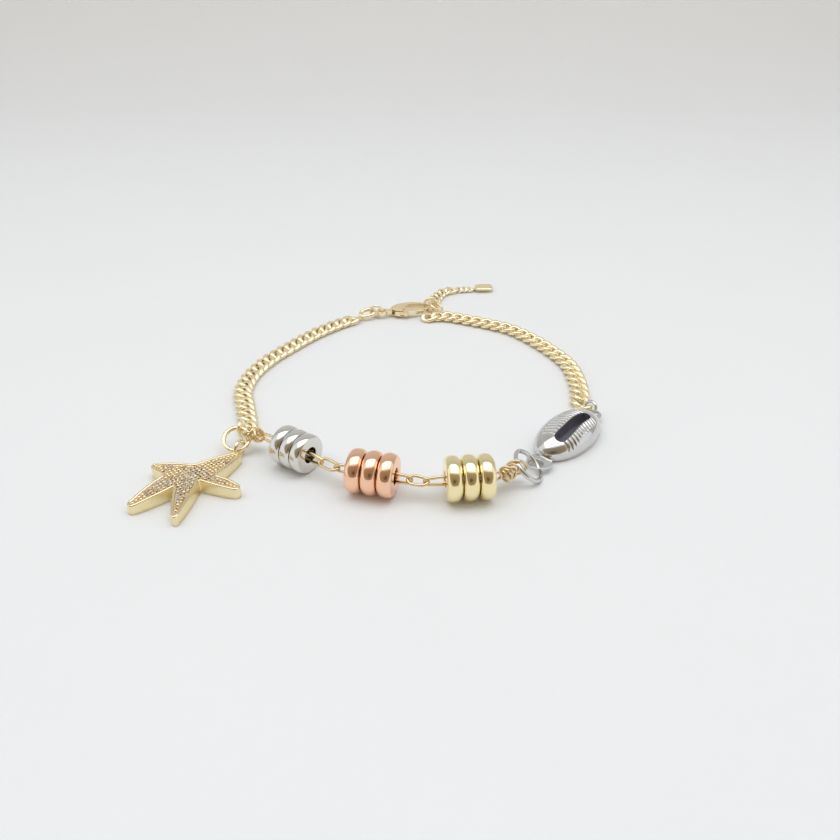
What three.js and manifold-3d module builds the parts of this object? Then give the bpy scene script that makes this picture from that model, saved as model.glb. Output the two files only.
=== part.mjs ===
// Bracelet: a curb chain with a lobster clasp and an extender at the back, and a bead section at
// the front that runs from a starfish charm past three groups of rondelles to a cowrie shell.
// Millimetres, +Z up. It lies on its back as a closed loop, the bead section towards -Y.
import * as THREE from 'three';
import { mergeVertices } from 'three/addons/utils/BufferGeometryUtils.js';
import Module from 'manifold-3d';

const wasm = await Module();
wasm.setup();

// ---- Driving dimensions (mm) ----
const CHAIN = { width: 3.2, thickness: 1.0, bottom: 0.15, sides: 10, step: 1.2 };
const EXTENDER_CHAIN = { ...CHAIN, width: 2.6 };
const FINE_CHAIN = { width: 2.1, thickness: 0.9, bottom: 0.15, sides: 8, step: 0.8 };
const LINK_WIRE = 0.45;
const RING_WIRE = 0.5;
const ROD_SEGMENTS = 16;
const RONDELLE = { flatRadius: 2.5, holeRadius: 1.2, roundSteps: 5, segments: 24 };
const BEAD_GROUPS = [
  { colour: 'silver', middle: [-17.8, -20.2], yaw: -34, pitch: 1.87, thickness: 1.75, diameter: 5.9 },
  { colour: 'rose', middle: [-6.5, -26.25], yaw: -14, pitch: 2.26, thickness: 2.14, diameter: 6.35 },
  { colour: 'gold', middle: [6.7, -27.4], yaw: 6.5, pitch: 2.26, thickness: 2.14, diameter: 6.5 },
];
const STAR = {
  centre: [-32.2, -25.6], topHeight: 2.3, domeRadius: 55, domeWidth: 11, domeSteps: 6, domeSegments: 36,
  bulge: 0.14,
  loop: { centre: [-26.47, -17.99, 1.49], normal: [0.93, -0.37, 0.03], radius: 1.15, wire: 0.5 },
  loopRoot: { from: [-26.66, -19.7, 0.75], to: [-26.72, -18.95, 0.78], radius: 0.5 },
};
const STAR_ARMS = [
  { angle: 47.2, reach: 8.9, halfWidth: 0.75, notchAngle: 84.4, notchReach: 2.9 },
  { angle: 151.5, reach: 6.7, halfWidth: 0.7, notchAngle: 171.9, notchReach: 3.6 },
  { angle: 219.3, reach: 8.95, halfWidth: 0.75, notchAngle: 239, notchReach: 2.6 },
  { angle: 269.7, reach: 8.3, halfWidth: 0.5, notchAngle: 332, notchReach: 2.0 },
  { angle: 345.5, reach: 7.8, halfWidth: 0.75, notchAngle: 367.5, notchReach: 3.8 },
];
const SHELL = {
  centre: [22.3, -13.85, 1.1], yaw: 49, halfLength: 7.0, halfWidth: 3.85, halfHeight: 2.9,
  slot: {
    length: 8.6, middle: -0.5, width: 1.7, floor: 1.8, sway: 0.1, shift: -1.03, steps: 10, bluntness: 4,
  },
  tab: { radius: 1.9, thickness: 0.4, bottom: 0.8 },
  frontTab: { centre: [17.2, -20.7], hole: [16.7, -21.2], holeRadius: 1.05 },
  backTab: { centre: [27.1, -8.1], hole: [27.2, -7.75], holeRadius: 0.75, radius: 1.35 },
};
const CLASP = {
  eye: [-7.35, 28.7, 1.08], yaw: 14, thickness: 1.4, edgeSteps: 28,
  eyeOuter: 1.1, eyeHole: 0.68, eyeThickness: 0.7,
  neck: { start: 0.8, end: 2.4, halfWidth: 0.65 },
  outer: { middle: 6.0, halfLength: 4.2, halfWidth: 1.9 },
  opening: { middle: 6.9, halfLength: 2.5, halfWidth: 1.05 },
  lens: { middle: 3.5, halfLength: 7.0, halfWidth: 4.0, halfHeight: 0.8, segments: 28, rings: 12 },
  gate: { start: 4.0, end: 8.2, inner: -0.45 },
  leverSlot: { start: 1.9, end: 5.2, inner: 0.35, halfHeight: 0.46 },
  pivot: [3.0, -0.95], rivetRadius: 0.32, rivetHalfHeight: 0.56,
  leverHole: 0.4, leverHub: 0.75, leverHalfHeight: 0.38, leverEnd: 7.9,
  knob: { middle: [4.3, -1.95], radius: 0.45 },
};
const BEAD_WIRE = { width: 1.8, wire: LINK_WIRE, overhang: 0.5, shortLean: 70 };
// Where the bead wires and the short links between them hook into each other.
const WIRE_POINTS = {
  silverNeck: [-23.3, -16.5, 2.85], silverRose: [[-13.9, -23.2, 2.9], [-11.55, -24.75, 2.97]],
  roseGold: [[-1.4, -27.6, 3.04], [0.85, -28.05, 3.06]], goldNeck: [11.4, -26.6, 3.03],
};
const EYES = {
  silver: { centre: [-25.3, -15.93, 2.59], normal: [0.23, 0.83, 0.51], radius: 0.95, turns: 4, pitch: 0.45 },
  gold: { centre: [13.46, -24.08, 2.53], normal: [-0.07, 0.98, 0.19], radius: 1.35, turns: 5, pitch: 0.5 },
};
const NECK = { radius: 0.7, roundness: 3, segments: 14, sink: 0.15 };
const RINGS = {
  charm_jump_ring: { centre: [-27.12, -16.4, 2.09], normal: [0.02, -0.47, 0.88], radius: 1.9, wire: 0.6 },
  clasp_jump_ring: { centre: [-8.44, 28.45, 1.43], normal: [0.04, 0.99, 0.16], radius: 1.15 },
  clasp_held_ring: { centre: [2.03, 31.01, 1.6], normal: [-0.2, 0.98, 0.01], radius: 1.3 },
  chain_link_right_back: { centre: [3.22, 30.47, 1.46], normal: [0.5, -0.01, 0.87], radius: 1.4, wire: 0.45 },
  shell_front_ring: {
    centre: [15.3, -22.94, 1.97], normal: [0.66, -0.11, 0.74], radius: 2.5, metal: 'silver',
  },
  shell_back_ring: {
    centre: [26.9, -6.63, 1.4], normal: [-0.72, -0.59, 0.36], radius: 1.05, metal: 'silver',
  },
};
const END_LINKS = {
  chain_link_left_front: {
    centre: [-26.62, -14.29, 2.47], along: [0.02, -0.52, 0.85], normal: [0.98, -0.2, 0.03],
    length: 3.4, width: 2.4,
  },
  chain_link_right_front: {
    centre: [26.07, -6.01, 1.06], along: [0.8, -0.5, 0.3], normal: [-0.15, 0.45, 0.88],
    length: 3.2, width: 2.4,
  },
  chain_link_left_back: {
    centre: [-10.14, 28.09, 1.18], along: [0.94, 0.34, 0.1], normal: [-0.06, -0.32, 0.95],
    length: 3.4, width: 2.5,
  },
};
const END_LINK_WIRE = 0.6;
const END_TAG = {
  centre: [13.1, 41.1, 0.75], length: 3.8, width: 2.7, thickness: 0.7, yaw: 2, squareness: 0.5, corners: 32,
};

// ---- Routes of the chains, from the clasp end (x, y) ----
const LEFT_CHAIN_ROUTE = [
  [-12.3, 26.6], [-14.2, 25.4], [-16.9, 23.1], [-20.3, 19.4], [-23.4, 15.1], [-26.4, 10.6],
  [-28.6, 5.3], [-29.2, 0.0], [-28.0, -4.8], [-26.7, -10.0], [-26.4, -12.2],
];
const RIGHT_CHAIN_ROUTE = [
  [1.0, 27.3], [4.8, 27.75], [9.5, 26.0], [13.3, 24.3], [16.9, 22.2], [20.2, 18.6], [23.3, 14.0],
  [25.7, 8.8], [26.4, 3.3], [26.2, -1.2], [25.6, -4.4],
];
const EXTENDER_ROUTE = [[2.4, 32.8], [2.95, 35.3], [4.0, 38.2], [5.4, 39.7], [7.3, 40.3]];
const FINE_ROUTE = [[7.75, 40.5], [9.3, 40.75], [10.8, 40.85]];

// ---- Colours ----
const palette = {
  gold: [0xe3cf94, 0.25], warmGold: [0xd9b679, 0.28], rose: [0xe2a58d, 0.2],
  silver: [0xd2d3d3, 0.15], beadGold: [0xe0d09a, 0.2],
};

/** A metal of the palette, polished to its own roughness. */
function metal(name) {
  const [color, roughness] = palette[name];
  return new THREE.MeshStandardMaterial({ color, roughness, metalness: 1 });
}

const bracelet = new THREE.Group();

/** Adds one named piece to the bracelet. */
function add(name, geometry, metalName) {
  const mesh = new THREE.Mesh(geometry, metal(metalName));
  mesh.name = name;
  bracelet.add(mesh);
  return mesh;
}

/** Leaves a geometry with its positions only, with shared corners merged. */
function weld(geometry) {
  const bare = geometry.clone();
  bare.deleteAttribute('normal');
  bare.deleteAttribute('uv');
  return mergeVertices(bare, 1e-5);
}

/** The manifold solid of a closed geometry. */
function solid(geometry) {
  const welded = weld(geometry);
  return new wasm.Manifold(new wasm.Mesh({
    numProp: 3,
    vertProperties: new Float32Array(welded.attributes.position.array),
    triVerts: new Uint32Array(welded.index.array),
  }));
}

/** The geometry of a manifold solid. */
function geometryOf(manifold) {
  const mesh = manifold.getMesh();
  const geometry = new THREE.BufferGeometry();
  geometry.setAttribute('position', new THREE.Float32BufferAttribute(mesh.vertProperties, 3));
  geometry.setIndex(new THREE.Uint32BufferAttribute(mesh.triVerts, 1));
  geometry.computeVertexNormals();
  return geometry;
}

/** A copy of a geometry whose Z axis is turned to `normal` and whose X axis goes towards `along`. */
function turned(geometry, centre, normal, along = Math.abs(normal[2]) < 0.9 ? [0, 0, 1] : [1, 0, 0]) {
  const z = new THREE.Vector3(...normal).normalize();
  const x = new THREE.Vector3(...along);
  x.addScaledVector(z, -x.dot(z)).normalize();
  const y = new THREE.Vector3().crossVectors(z, x);
  const matrix = new THREE.Matrix4().makeBasis(x, y, z).setPosition(...centre);
  return weld(geometry).applyMatrix4(matrix);
}

/** A copy of a flat-lying geometry turned by `yaw` degrees and moved to (x, y, z). */
function laid(geometry, [x, y, z = 0], yaw) {
  return weld(geometry).rotateZ(THREE.MathUtils.degToRad(yaw)).translate(x, y, z);
}

/** A ring of round wire whose middle line has the given radius. */
function ring(radius, wire) {
  return new THREE.TorusGeometry(radius, wire / 2, 8, 24);
}

/** A ring whose two halves are drawn apart along X into an oblong link. */
function oblongLink(length, width, wire) {
  const link = ring((width - wire) / 2, wire);
  const position = link.attributes.position;
  for (let i = 0; i < position.count; i += 1) {
    const x = position.getX(i);
    position.setX(i, x + (Math.sign(Math.round(x * 1e4)) * (length - width)) / 2);
  }
  return link;
}

/** A flat-oval chain tube along a route on the table. */
function chainTube(route, chain) {
  const height = chain.bottom + chain.thickness / 2;
  const curve = new THREE.CatmullRomCurve3(route.map(([x, y]) => new THREE.Vector3(x, y, height)));
  const section = new THREE.Shape();
  for (let i = 0; i < chain.sides; i += 1) {
    const angle = ((i + 0.5) / chain.sides) * 2 * Math.PI;
    const point = [(chain.thickness / 2) * Math.cos(angle), (chain.width / 2) * Math.sin(angle)];
    if (i === 0) section.moveTo(...point);
    else section.lineTo(...point);
  }
  section.closePath();
  const steps = Math.max(3, Math.round(curve.getLength() / chain.step));
  return new THREE.ExtrudeGeometry(section, { extrudePath: curve, steps });
}

/** A rondelle around the X axis: flat faces, a rounded rim and a round hole. */
function rondelle({ thickness, diameter }) {
  const { flatRadius, holeRadius, roundSteps, segments } = RONDELLE;
  const rim = diameter / 2 - flatRadius;
  const profile = [new THREE.Vector2(holeRadius, -thickness / 2)];
  for (let i = 0; i <= roundSteps; i += 1) {
    const angle = (i / roundSteps - 0.5) * Math.PI;
    profile.push(new THREE.Vector2(flatRadius + rim * Math.cos(angle), (thickness / 2) * Math.sin(angle)));
  }
  profile.push(new THREE.Vector2(holeRadius, thickness / 2));
  profile.push(profile[0].clone());
  return new THREE.LatheGeometry(profile, segments).rotateZ(-Math.PI / 2);
}

function buildChains() {
  add('curb_chain_left', chainTube(LEFT_CHAIN_ROUTE, CHAIN), 'gold');
  add('curb_chain_right', chainTube(RIGHT_CHAIN_ROUTE, CHAIN), 'gold');
  add('extender_chain', chainTube(EXTENDER_ROUTE, EXTENDER_CHAIN), 'gold');
  add('extender_fine_chain', chainTube(FINE_ROUTE, FINE_CHAIN), 'gold');
}

function buildRondelles() {
  for (const group of BEAD_GROUPS) {
    const yaw = THREE.MathUtils.degToRad(group.yaw);
    for (const place of [-1, 0, 1]) {
      const x = group.middle[0] + place * group.pitch * Math.cos(yaw);
      const y = group.middle[1] + place * group.pitch * Math.sin(yaw);
      const bead = laid(rondelle(group), [x, y, group.diameter / 2], group.yaw);
      add(`${group.colour}_rondelle_${place + 2}`, bead, group.colour === 'gold' ? 'beadGold' : group.colour);
    }
  }
}

/** An oblong wire link from one point to another; its plane's normal leans up by `lean` degrees. */
function linkBetween(from, to, lean) {
  const start = new THREE.Vector3(...from);
  const end = new THREE.Vector3(...to);
  const along = end.clone().sub(start).normalize();
  const side = new THREE.Vector3(along.y, -along.x, 0).normalize();
  const up = new THREE.Vector3().crossVectors(side, along);
  if (up.z < 0) up.negate();
  const angle = THREE.MathUtils.degToRad(lean);
  const normal = side.multiplyScalar(Math.cos(angle)).addScaledVector(up, Math.sin(angle));
  const link = oblongLink(start.distanceTo(end), BEAD_WIRE.width, BEAD_WIRE.wire);
  return turned(link, start.add(end).multiplyScalar(0.5).toArray(), normal.toArray(), along.toArray());
}

/** The point `distance` before `from` on the line from `from` to `to`. */
function before(from, to, distance) {
  const start = new THREE.Vector3(...from);
  const direction = new THREE.Vector3(...to).sub(start).normalize();
  return start.addScaledVector(direction, -distance).toArray();
}

/** A neck of wire wrapped side by side, `pitch` apart, from `from` towards the eye. */
function wrappedNeck(from, { centre: to, turns, pitch }) {
  const { radius, roundness, segments, sink } = NECK;
  const profile = [new THREE.Vector2(0, 0)];
  for (let turn = 0; turn < turns; turn += 1) {
    for (let i = 0; i < roundness; i += 1) {
      const angle = ((i + 0.5) / roundness) * Math.PI;
      profile.push(new THREE.Vector2(
        radius + (pitch / 2) * Math.sin(angle), (turn + 0.5 - Math.cos(angle) / 2) * pitch,
      ));
    }
  }
  profile.push(new THREE.Vector2(0, turns * pitch));
  const neck = new THREE.LatheGeometry(profile, segments).rotateX(Math.PI / 2);
  const axis = new THREE.Vector3(...to).sub(new THREE.Vector3(...from)).normalize();
  const start = before(from, to, sink);
  return turned(neck, start, axis.toArray());
}

/** A bead wire that ends in a wrapped neck and an eye. */
function eyedWire(neckPoint, junction, eye) {
  const shank = linkBetween(neckPoint, before(junction, neckPoint, BEAD_WIRE.overhang), 0);
  const loop = turned(ring(eye.radius, BEAD_WIRE.wire), eye.centre, eye.normal);
  const neck = wrappedNeck(neckPoint, eye);
  return geometryOf(solid(shank).add(solid(neck)).add(solid(loop)));
}

function buildWires() {
  const { silverNeck, silverRose, roseGold, goldNeck } = WIRE_POINTS;
  const { overhang } = BEAD_WIRE;
  const short = ([a, b]) => linkBetween(before(a, b, overhang), before(b, a, overhang), BEAD_WIRE.shortLean);
  add('silver_bead_wire', eyedWire(silverNeck, silverRose[0], EYES.silver), 'rose');
  add('silver_rose_link', short(silverRose), 'warmGold');
  const roseStart = before(silverRose[1], roseGold[0], overhang);
  const roseEnd = before(roseGold[0], silverRose[1], overhang);
  add('rose_bead_wire', linkBetween(roseStart, roseEnd, 0), 'warmGold');
  add('rose_gold_link', short(roseGold), 'warmGold');
  add('gold_bead_wire', eyedWire(goldNeck, roseGold[1], EYES.gold), 'gold');
}

function buildRings() {
  for (const [name, { centre, normal, radius, wire = RING_WIRE, metal = 'gold' }] of Object.entries(RINGS)) {
    add(name, turned(ring(radius, wire), centre, normal), metal);
  }
  for (const [name, { centre, along, normal, length, width }] of Object.entries(END_LINKS)) {
    add(name, turned(oblongLink(length, width, END_LINK_WIRE), centre, normal, along), 'gold');
  }
}

/** The flat tag at the free end of the extender: a rectangle with round corners. */
function buildEndTag() {
  const { centre, length, width, thickness, yaw, squareness, corners } = END_TAG;
  const soften = (value) => (Math.sign(value) * Math.abs(value) ** squareness) / 2;
  const points = Array.from({ length: corners }, (_, i) => {
    const angle = (i / corners) * 2 * Math.PI;
    return [length * soften(Math.cos(angle)), width * soften(Math.sin(angle))];
  });
  add('end_tag', laid(plate(outline(points), -thickness / 2, thickness / 2), centre, yaw), 'gold');
}

/** A closed shape through a list of (x, y) points. */
function outline(points) {
  return new THREE.Shape(points.map(([x, y]) => new THREE.Vector2(x, y)));
}

/** A round shape. */
function circle(centre, radius) {
  return new THREE.Shape().absarc(...centre, radius, 0, 2 * Math.PI);
}

/** A straight-walled plate of a shape between two heights. */
function plate(shape, bottom, top, curveSegments = 12) {
  const options = { depth: top - bottom, bevelEnabled: false, curveSegments };
  return new THREE.ExtrudeGeometry(shape, options).translate(0, 0, bottom);
}

/** A rod of round section between two points. */
function rod(from, to, radius) {
  const start = new THREE.Vector3(...from);
  const end = new THREE.Vector3(...to);
  const shape = new THREE.CylinderGeometry(radius, radius, start.distanceTo(end), ROD_SEGMENTS)
    .rotateX(Math.PI / 2);
  const axis = end.clone().sub(start).normalize();
  return turned(shape, start.add(end).multiplyScalar(0.5).toArray(), axis.toArray());
}

/** Bows the arms' long sides outwards: the two edges beside each notch. */
function bulged(corners, perArm) {
  return corners.flatMap(([x, y], i) => {
    const [endX, endY] = corners[(i + 1) % corners.length];
    const [dx, dy] = [endX - x, endY - y];
    const length = Math.hypot(dx, dy);
    const shares = i % perArm >= perArm - 2 ? [0, 0.25, 0.5, 0.75] : [0];
    return shares.map((share) => {
      const out = 4 * STAR.bulge * share * (1 - share);
      return [x + share * dx + (out * dy) / length, y + share * dy - (out * dx) / length];
    });
  });
}

/** The starfish's outline: five arms with round tips between five notches. */
function starPoints() {
  const at = (angle, reach) => {
    const radians = THREE.MathUtils.degToRad(angle);
    return [reach * Math.cos(radians), reach * Math.sin(radians)];
  };
  const corners = STAR_ARMS.flatMap(({ angle, reach, halfWidth, notchAngle, notchReach }) => {
    const [x, y] = at(angle, reach - halfWidth);
    const tip = [-90, -45, 0, 45, 90].map((turn) => {
      const [dx, dy] = at(angle + turn, halfWidth);
      return [x + dx, y + dy];
    });
    return [...tip, at(notchAngle, notchReach)];
  });
  return bulged(corners, corners.length / STAR_ARMS.length);
}

/** The starfish: straight walls under a shallow dome, with its cast loop. */
function buildStarfish() {
  const { centre, topHeight, domeRadius, domeWidth, domeSteps, domeSegments, loop, loopRoot } = STAR;
  const profile = [new THREE.Vector2(0, 0), new THREE.Vector2(domeWidth, 0)];
  for (let i = domeSteps; i >= 0; i -= 1) {
    const x = (i / domeSteps) * domeWidth;
    const drop = domeRadius - Math.sqrt(domeRadius ** 2 - x ** 2);
    profile.push(new THREE.Vector2(x, topHeight - drop));
  }
  const dome = new THREE.LatheGeometry(profile, domeSegments).rotateX(Math.PI / 2);
  const walls = plate(outline(starPoints()), 0, topHeight + 1);
  const star = solid(laid(walls, centre, 0)).intersect(solid(laid(dome, centre, 0)));
  const bail = turned(ring(loop.radius, loop.wire), loop.centre, loop.normal);
  const root = rod(loopRoot.from, loopRoot.to, loopRoot.radius);
  add('starfish_charm', geometryOf(star.add(solid(bail)).add(solid(root))), 'gold');
}

/** The S-shaped slot of the shell, as a closed list of points along its length. */
function slotPoints() {
  const { length, middle, width, sway, shift, steps, bluntness } = SHELL.slot;
  const side = (sign) => Array.from({ length: steps + 1 }, (_, i) => {
    const along = (i / steps - 0.5) * sign;
    const half = (width / 2) * Math.sqrt(Math.max(0, 1 - (2 * along) ** bluntness) + 0.01);
    return [middle + along * length, shift + sway * Math.sin(2 * Math.PI * along) - sign * half];
  });
  return [...side(1), ...side(-1)];
}

/** A flat tab with a round hole, standing off the table. */
function tab({ centre, hole, holeRadius, radius = SHELL.tab.radius }) {
  const { thickness, bottom } = SHELL.tab;
  const shape = circle(centre, radius);
  shape.holes.push(new THREE.Path().absarc(...hole, holeRadius, 0, 2 * Math.PI, true));
  return solid(plate(shape, bottom, bottom + thickness, 24));
}

/** A round bore through a tab. */
function bore({ hole, holeRadius }) {
  return solid(rod([...hole, -1], [...hole, 2 * SHELL.halfHeight], holeRadius));
}

/** The cowrie shell with the tabs at its two ends. */
function buildShell() {
  const { centre, yaw, halfLength, halfWidth, halfHeight, slot, frontTab, backTab } = SHELL;
  const egg = new THREE.SphereGeometry(1, 32, 18).scale(halfLength, halfWidth, halfHeight);
  const pocket = plate(outline(slotPoints()), slot.floor - centre[2], 2 * halfHeight);
  const shell = solid(laid(egg, centre, yaw)).trimByPlane([0, 0, 1], 0)
    .subtract(solid(laid(pocket, centre, yaw)))
    .add(tab(frontTab)).add(tab(backTab))
    .subtract(bore(frontTab)).subtract(bore(backTab));
  add('cowrie_shell', geometryOf(shell), 'silver');
}

/** The ellipse of a clasp part as a shape. */
function ellipse({ middle, halfLength, halfWidth }) {
  return new THREE.Shape().absellipse(middle, 0, halfLength, halfWidth, 0, 2 * Math.PI);
}

/** A plate of a clasp shape centred on the clasp's own middle plane. */
function claspPlate(shape, halfHeight) {
  return solid(plate(shape, -halfHeight, halfHeight, CLASP.edgeSteps));
}

/** A box of the clasp between two lengths and two sides, centred on its middle plane. */
function claspBox(start, end, right, left, halfHeight) {
  return claspPlate(outline([[start, right], [end, right], [end, left], [start, left]]), halfHeight);
}

/** The clasp's rounded body: a half lens that thins towards the hook. */
function claspLens() {
  const { middle, halfLength, halfWidth, halfHeight, segments, rings } = CLASP.lens;
  const ball = new THREE.SphereGeometry(1, segments, rings);
  return solid(ball.scale(halfLength, halfWidth, halfHeight).translate(middle, 0, 0));
}

/** The clasp's body with its eye, fork and rivet. */
function claspBody() {
  const { thickness, eyeOuter, eyeHole, eyeThickness, neck, gate, leverSlot, pivot } = CLASP;
  const past = 2 * CLASP.outer.halfWidth;
  const disc = circle([0, 0], eyeOuter);
  const hole = circle([0, 0], eyeHole);
  return claspPlate(ellipse(CLASP.outer), thickness / 2).intersect(claspLens())
    .add(claspBox(neck.start, neck.end, -neck.halfWidth, neck.halfWidth, eyeThickness / 2))
    .add(claspPlate(disc, eyeThickness / 2))
    .subtract(claspPlate(hole, thickness))
    .subtract(claspPlate(ellipse(CLASP.opening), thickness))
    .subtract(claspBox(gate.start, gate.end, -past, gate.inner, thickness))
    .subtract(claspBox(leverSlot.start, leverSlot.end, -past, leverSlot.inner, leverSlot.halfHeight))
    .add(claspPlate(circle(pivot, CLASP.rivetRadius), CLASP.rivetHalfHeight));
}

/** The lever that closes the clasp, in its closed place. */
function claspLever() {
  const { gate, pivot, leverHole, leverHub, leverHalfHeight, leverEnd, knob } = CLASP;
  const past = 2 * CLASP.outer.halfWidth;
  return claspPlate(ellipse(CLASP.outer), leverHalfHeight)
    .subtract(claspPlate(ellipse(CLASP.opening), leverHalfHeight * 2))
    .intersect(claspBox(pivot[0], leverEnd, -past, gate.inner, leverHalfHeight))
    .add(claspPlate(circle(pivot, leverHub), leverHalfHeight))
    .add(claspPlate(circle(knob.middle, knob.radius), leverHalfHeight))
    .subtract(claspPlate(circle(pivot, leverHole), leverHalfHeight * 2));
}

function buildClasp() {
  add('clasp_body', laid(geometryOf(claspBody()), CLASP.eye, CLASP.yaw), 'warmGold');
  add('clasp_lever', laid(geometryOf(claspLever()), CLASP.eye, CLASP.yaw), 'gold');
}

/** Moves every piece so that the bracelet's bounding box stands centred on the origin. */
function centre() {
  const box = new THREE.Box3().setFromObject(bracelet);
  const middle = box.getCenter(new THREE.Vector3());
  for (const mesh of bracelet.children) mesh.geometry.translate(-middle.x, -middle.y, -box.min.z);
}

buildChains();
buildRondelles();
buildWires();
buildRings();
buildEndTag();
buildStarfish();
buildShell();
buildClasp();
centre();

export default bracelet;
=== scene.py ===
"""A charm bracelet: curb chains, rondelles on wire links, a starfish, a cowrie shell and a lobster clasp.

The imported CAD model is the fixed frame. Every piece here is made in the same frame: sizes are given in
bench millimetres, the frame that the bracelet was laid out in, and become metres when a piece is made.
"""
from __future__ import annotations

import logging
import math
from dataclasses import dataclass
from enum import Enum

import bmesh
import bpy
import numpy as np
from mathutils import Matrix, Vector
from mathutils.geometry import delaunay_2d_cdt

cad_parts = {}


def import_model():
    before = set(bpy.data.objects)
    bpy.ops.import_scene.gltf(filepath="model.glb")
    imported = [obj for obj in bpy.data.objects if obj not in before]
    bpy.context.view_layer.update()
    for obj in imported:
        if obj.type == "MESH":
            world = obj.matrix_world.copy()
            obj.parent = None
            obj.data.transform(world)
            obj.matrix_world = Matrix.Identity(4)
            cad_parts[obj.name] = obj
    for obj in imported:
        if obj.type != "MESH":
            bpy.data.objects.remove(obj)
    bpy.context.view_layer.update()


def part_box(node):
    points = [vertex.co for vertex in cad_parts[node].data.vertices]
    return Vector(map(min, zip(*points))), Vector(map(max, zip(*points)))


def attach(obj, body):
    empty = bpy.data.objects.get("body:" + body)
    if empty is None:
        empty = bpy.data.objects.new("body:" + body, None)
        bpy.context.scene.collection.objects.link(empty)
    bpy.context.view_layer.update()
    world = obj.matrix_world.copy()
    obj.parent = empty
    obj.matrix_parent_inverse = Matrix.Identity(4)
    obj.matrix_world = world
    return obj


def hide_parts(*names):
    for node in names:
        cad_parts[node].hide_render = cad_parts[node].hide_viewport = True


LOG = logging.getLogger("bracelet")
MM = 0.001
BODY = "bracelet"
LEVER_BODY = "clasp_lever"
Z_UP = np.array([0.0, 0.0, 1.0])
# The middle of the middle gold rondelle on the bench, in mm, from which the bench's origin is found.
GOLD_MIDDLE = (6.7, -27.4)
# The part of a noise texture's range that holds nearly all of its values.
NOISE_LOW, NOISE_HIGH = 0.3, 0.7
# The smoothest that any polish gets.
LEAST_ROUGHNESS = 0.02
# Points closer than the first become one point, and edges shorter than the second go, both in metres.
SAME_POINT, NO_LENGTH = 1e-7, 1e-8
# The edge angle in degrees above which an edge stays crisp, for a piece that has no crisp edge.
ALL_SMOOTH = 180
# How many points go round a ring or a small eye, and how many corners a thick or a thin wire has.
RING_STEPS, EYE_STEPS = 72, 56
RING_SIDES, WIRE_SIDES = 16, 12


# ---------------------------------------------------------------- colour and nodes


def linear(hex_colour: str) -> tuple[float, float, float, float]:
    """Turns an sRGB hex colour into the linear colour that a shader takes.

    Args:
        hex_colour: six hex digits, as "e3cf94".

    Returns:
        Linear red, green, blue and an alpha of 1.
    """
    parts = [int(hex_colour[i : i + 2], 16) / 255 for i in (0, 2, 4)]
    return (*(p / 12.92 if p <= 0.04045 else ((p + 0.055) / 1.055) ** 2.4 for p in parts), 1.0)


def add_node(tree: bpy.types.NodeTree, kind: str, inputs: dict | None = None,
             **settings: object) -> bpy.types.Node:
    """Adds a node with its settings, values and links.

    Args:
        tree: the node tree that gets the node.
        kind: the node's type name.
        inputs: socket name or number to a value, or to the output socket that feeds it.
        settings: the node's own properties.

    Returns:
        The new node.
    """
    node = tree.nodes.new(kind)
    for name, value in settings.items():
        setattr(node, name, value)
    for name, value in (inputs or {}).items():
        if isinstance(value, bpy.types.NodeSocket):
            tree.links.new(value, node.inputs[name])
        else:
            node.inputs[name].default_value = value
    return node


def empty_material(name: str) -> tuple[bpy.types.Material, bpy.types.NodeTree]:
    """Makes a material without nodes.

    Args:
        name: the material's name.

    Returns:
        The material and its empty node tree.
    """
    material = bpy.data.materials.new(name)
    material.use_nodes = True
    material.node_tree.nodes.clear()
    return material, material.node_tree


# ---------------------------------------------------------------- finishes


@dataclass(frozen=True)
class MetalFinish:
    """A plated and polished metal.

    The two colours are the plate where it is thickest and thinnest, `patch` mm apart. `grain` is the
    spacing in mm of the fine marks that the polishing mop leaves, which spread the highlights.
    """

    name: str
    colour: str
    tint: str
    roughness: float
    spread: float = 0.05
    patch: float = 1.6
    grain: float = 0.12
    bump: float = 0.04

    def material(self) -> bpy.types.Material:
        """Makes the metal's node material, with plate colour, polish marks and a faint orange peel.

        Returns:
            The material.
        """
        material, tree = empty_material(self.name)
        place = add_node(tree, "ShaderNodeTexCoord").outputs["Object"]
        patches = add_node(
            tree, "ShaderNodeTexNoise", {"Vector": place, "Scale": 1 / (self.patch * MM), "Detail": 3.0},
        )
        colour = add_node(
            tree, "ShaderNodeMix",
            {0: patches.outputs["Fac"], 6: linear(self.colour), 7: linear(self.tint)}, data_type="RGBA",
        )
        marks = add_node(
            tree, "ShaderNodeTexNoise", {"Vector": place, "Scale": 1 / (self.grain * MM), "Detail": 4.0},
        )
        polish = add_node(
            tree, "ShaderNodeMapRange",
            {"Value": marks.outputs["Fac"], "From Min": NOISE_LOW, "From Max": NOISE_HIGH,
             "To Min": max(LEAST_ROUGHNESS, self.roughness - self.spread),
             "To Max": self.roughness + self.spread},
        )
        peel = add_node(
            tree, "ShaderNodeBump",
            {"Height": marks.outputs["Fac"], "Strength": self.bump, "Distance": self.grain * MM},
        )
        shader = add_node(
            tree, "ShaderNodeBsdfPrincipled",
            {"Base Color": colour.outputs[2], "Metallic": 1.0, "Roughness": polish.outputs[0],
             "Normal": peel.outputs[0]},
        )
        add_node(tree, "ShaderNodeOutputMaterial", {"Surface": shader.outputs[0]})
        return material


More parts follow.
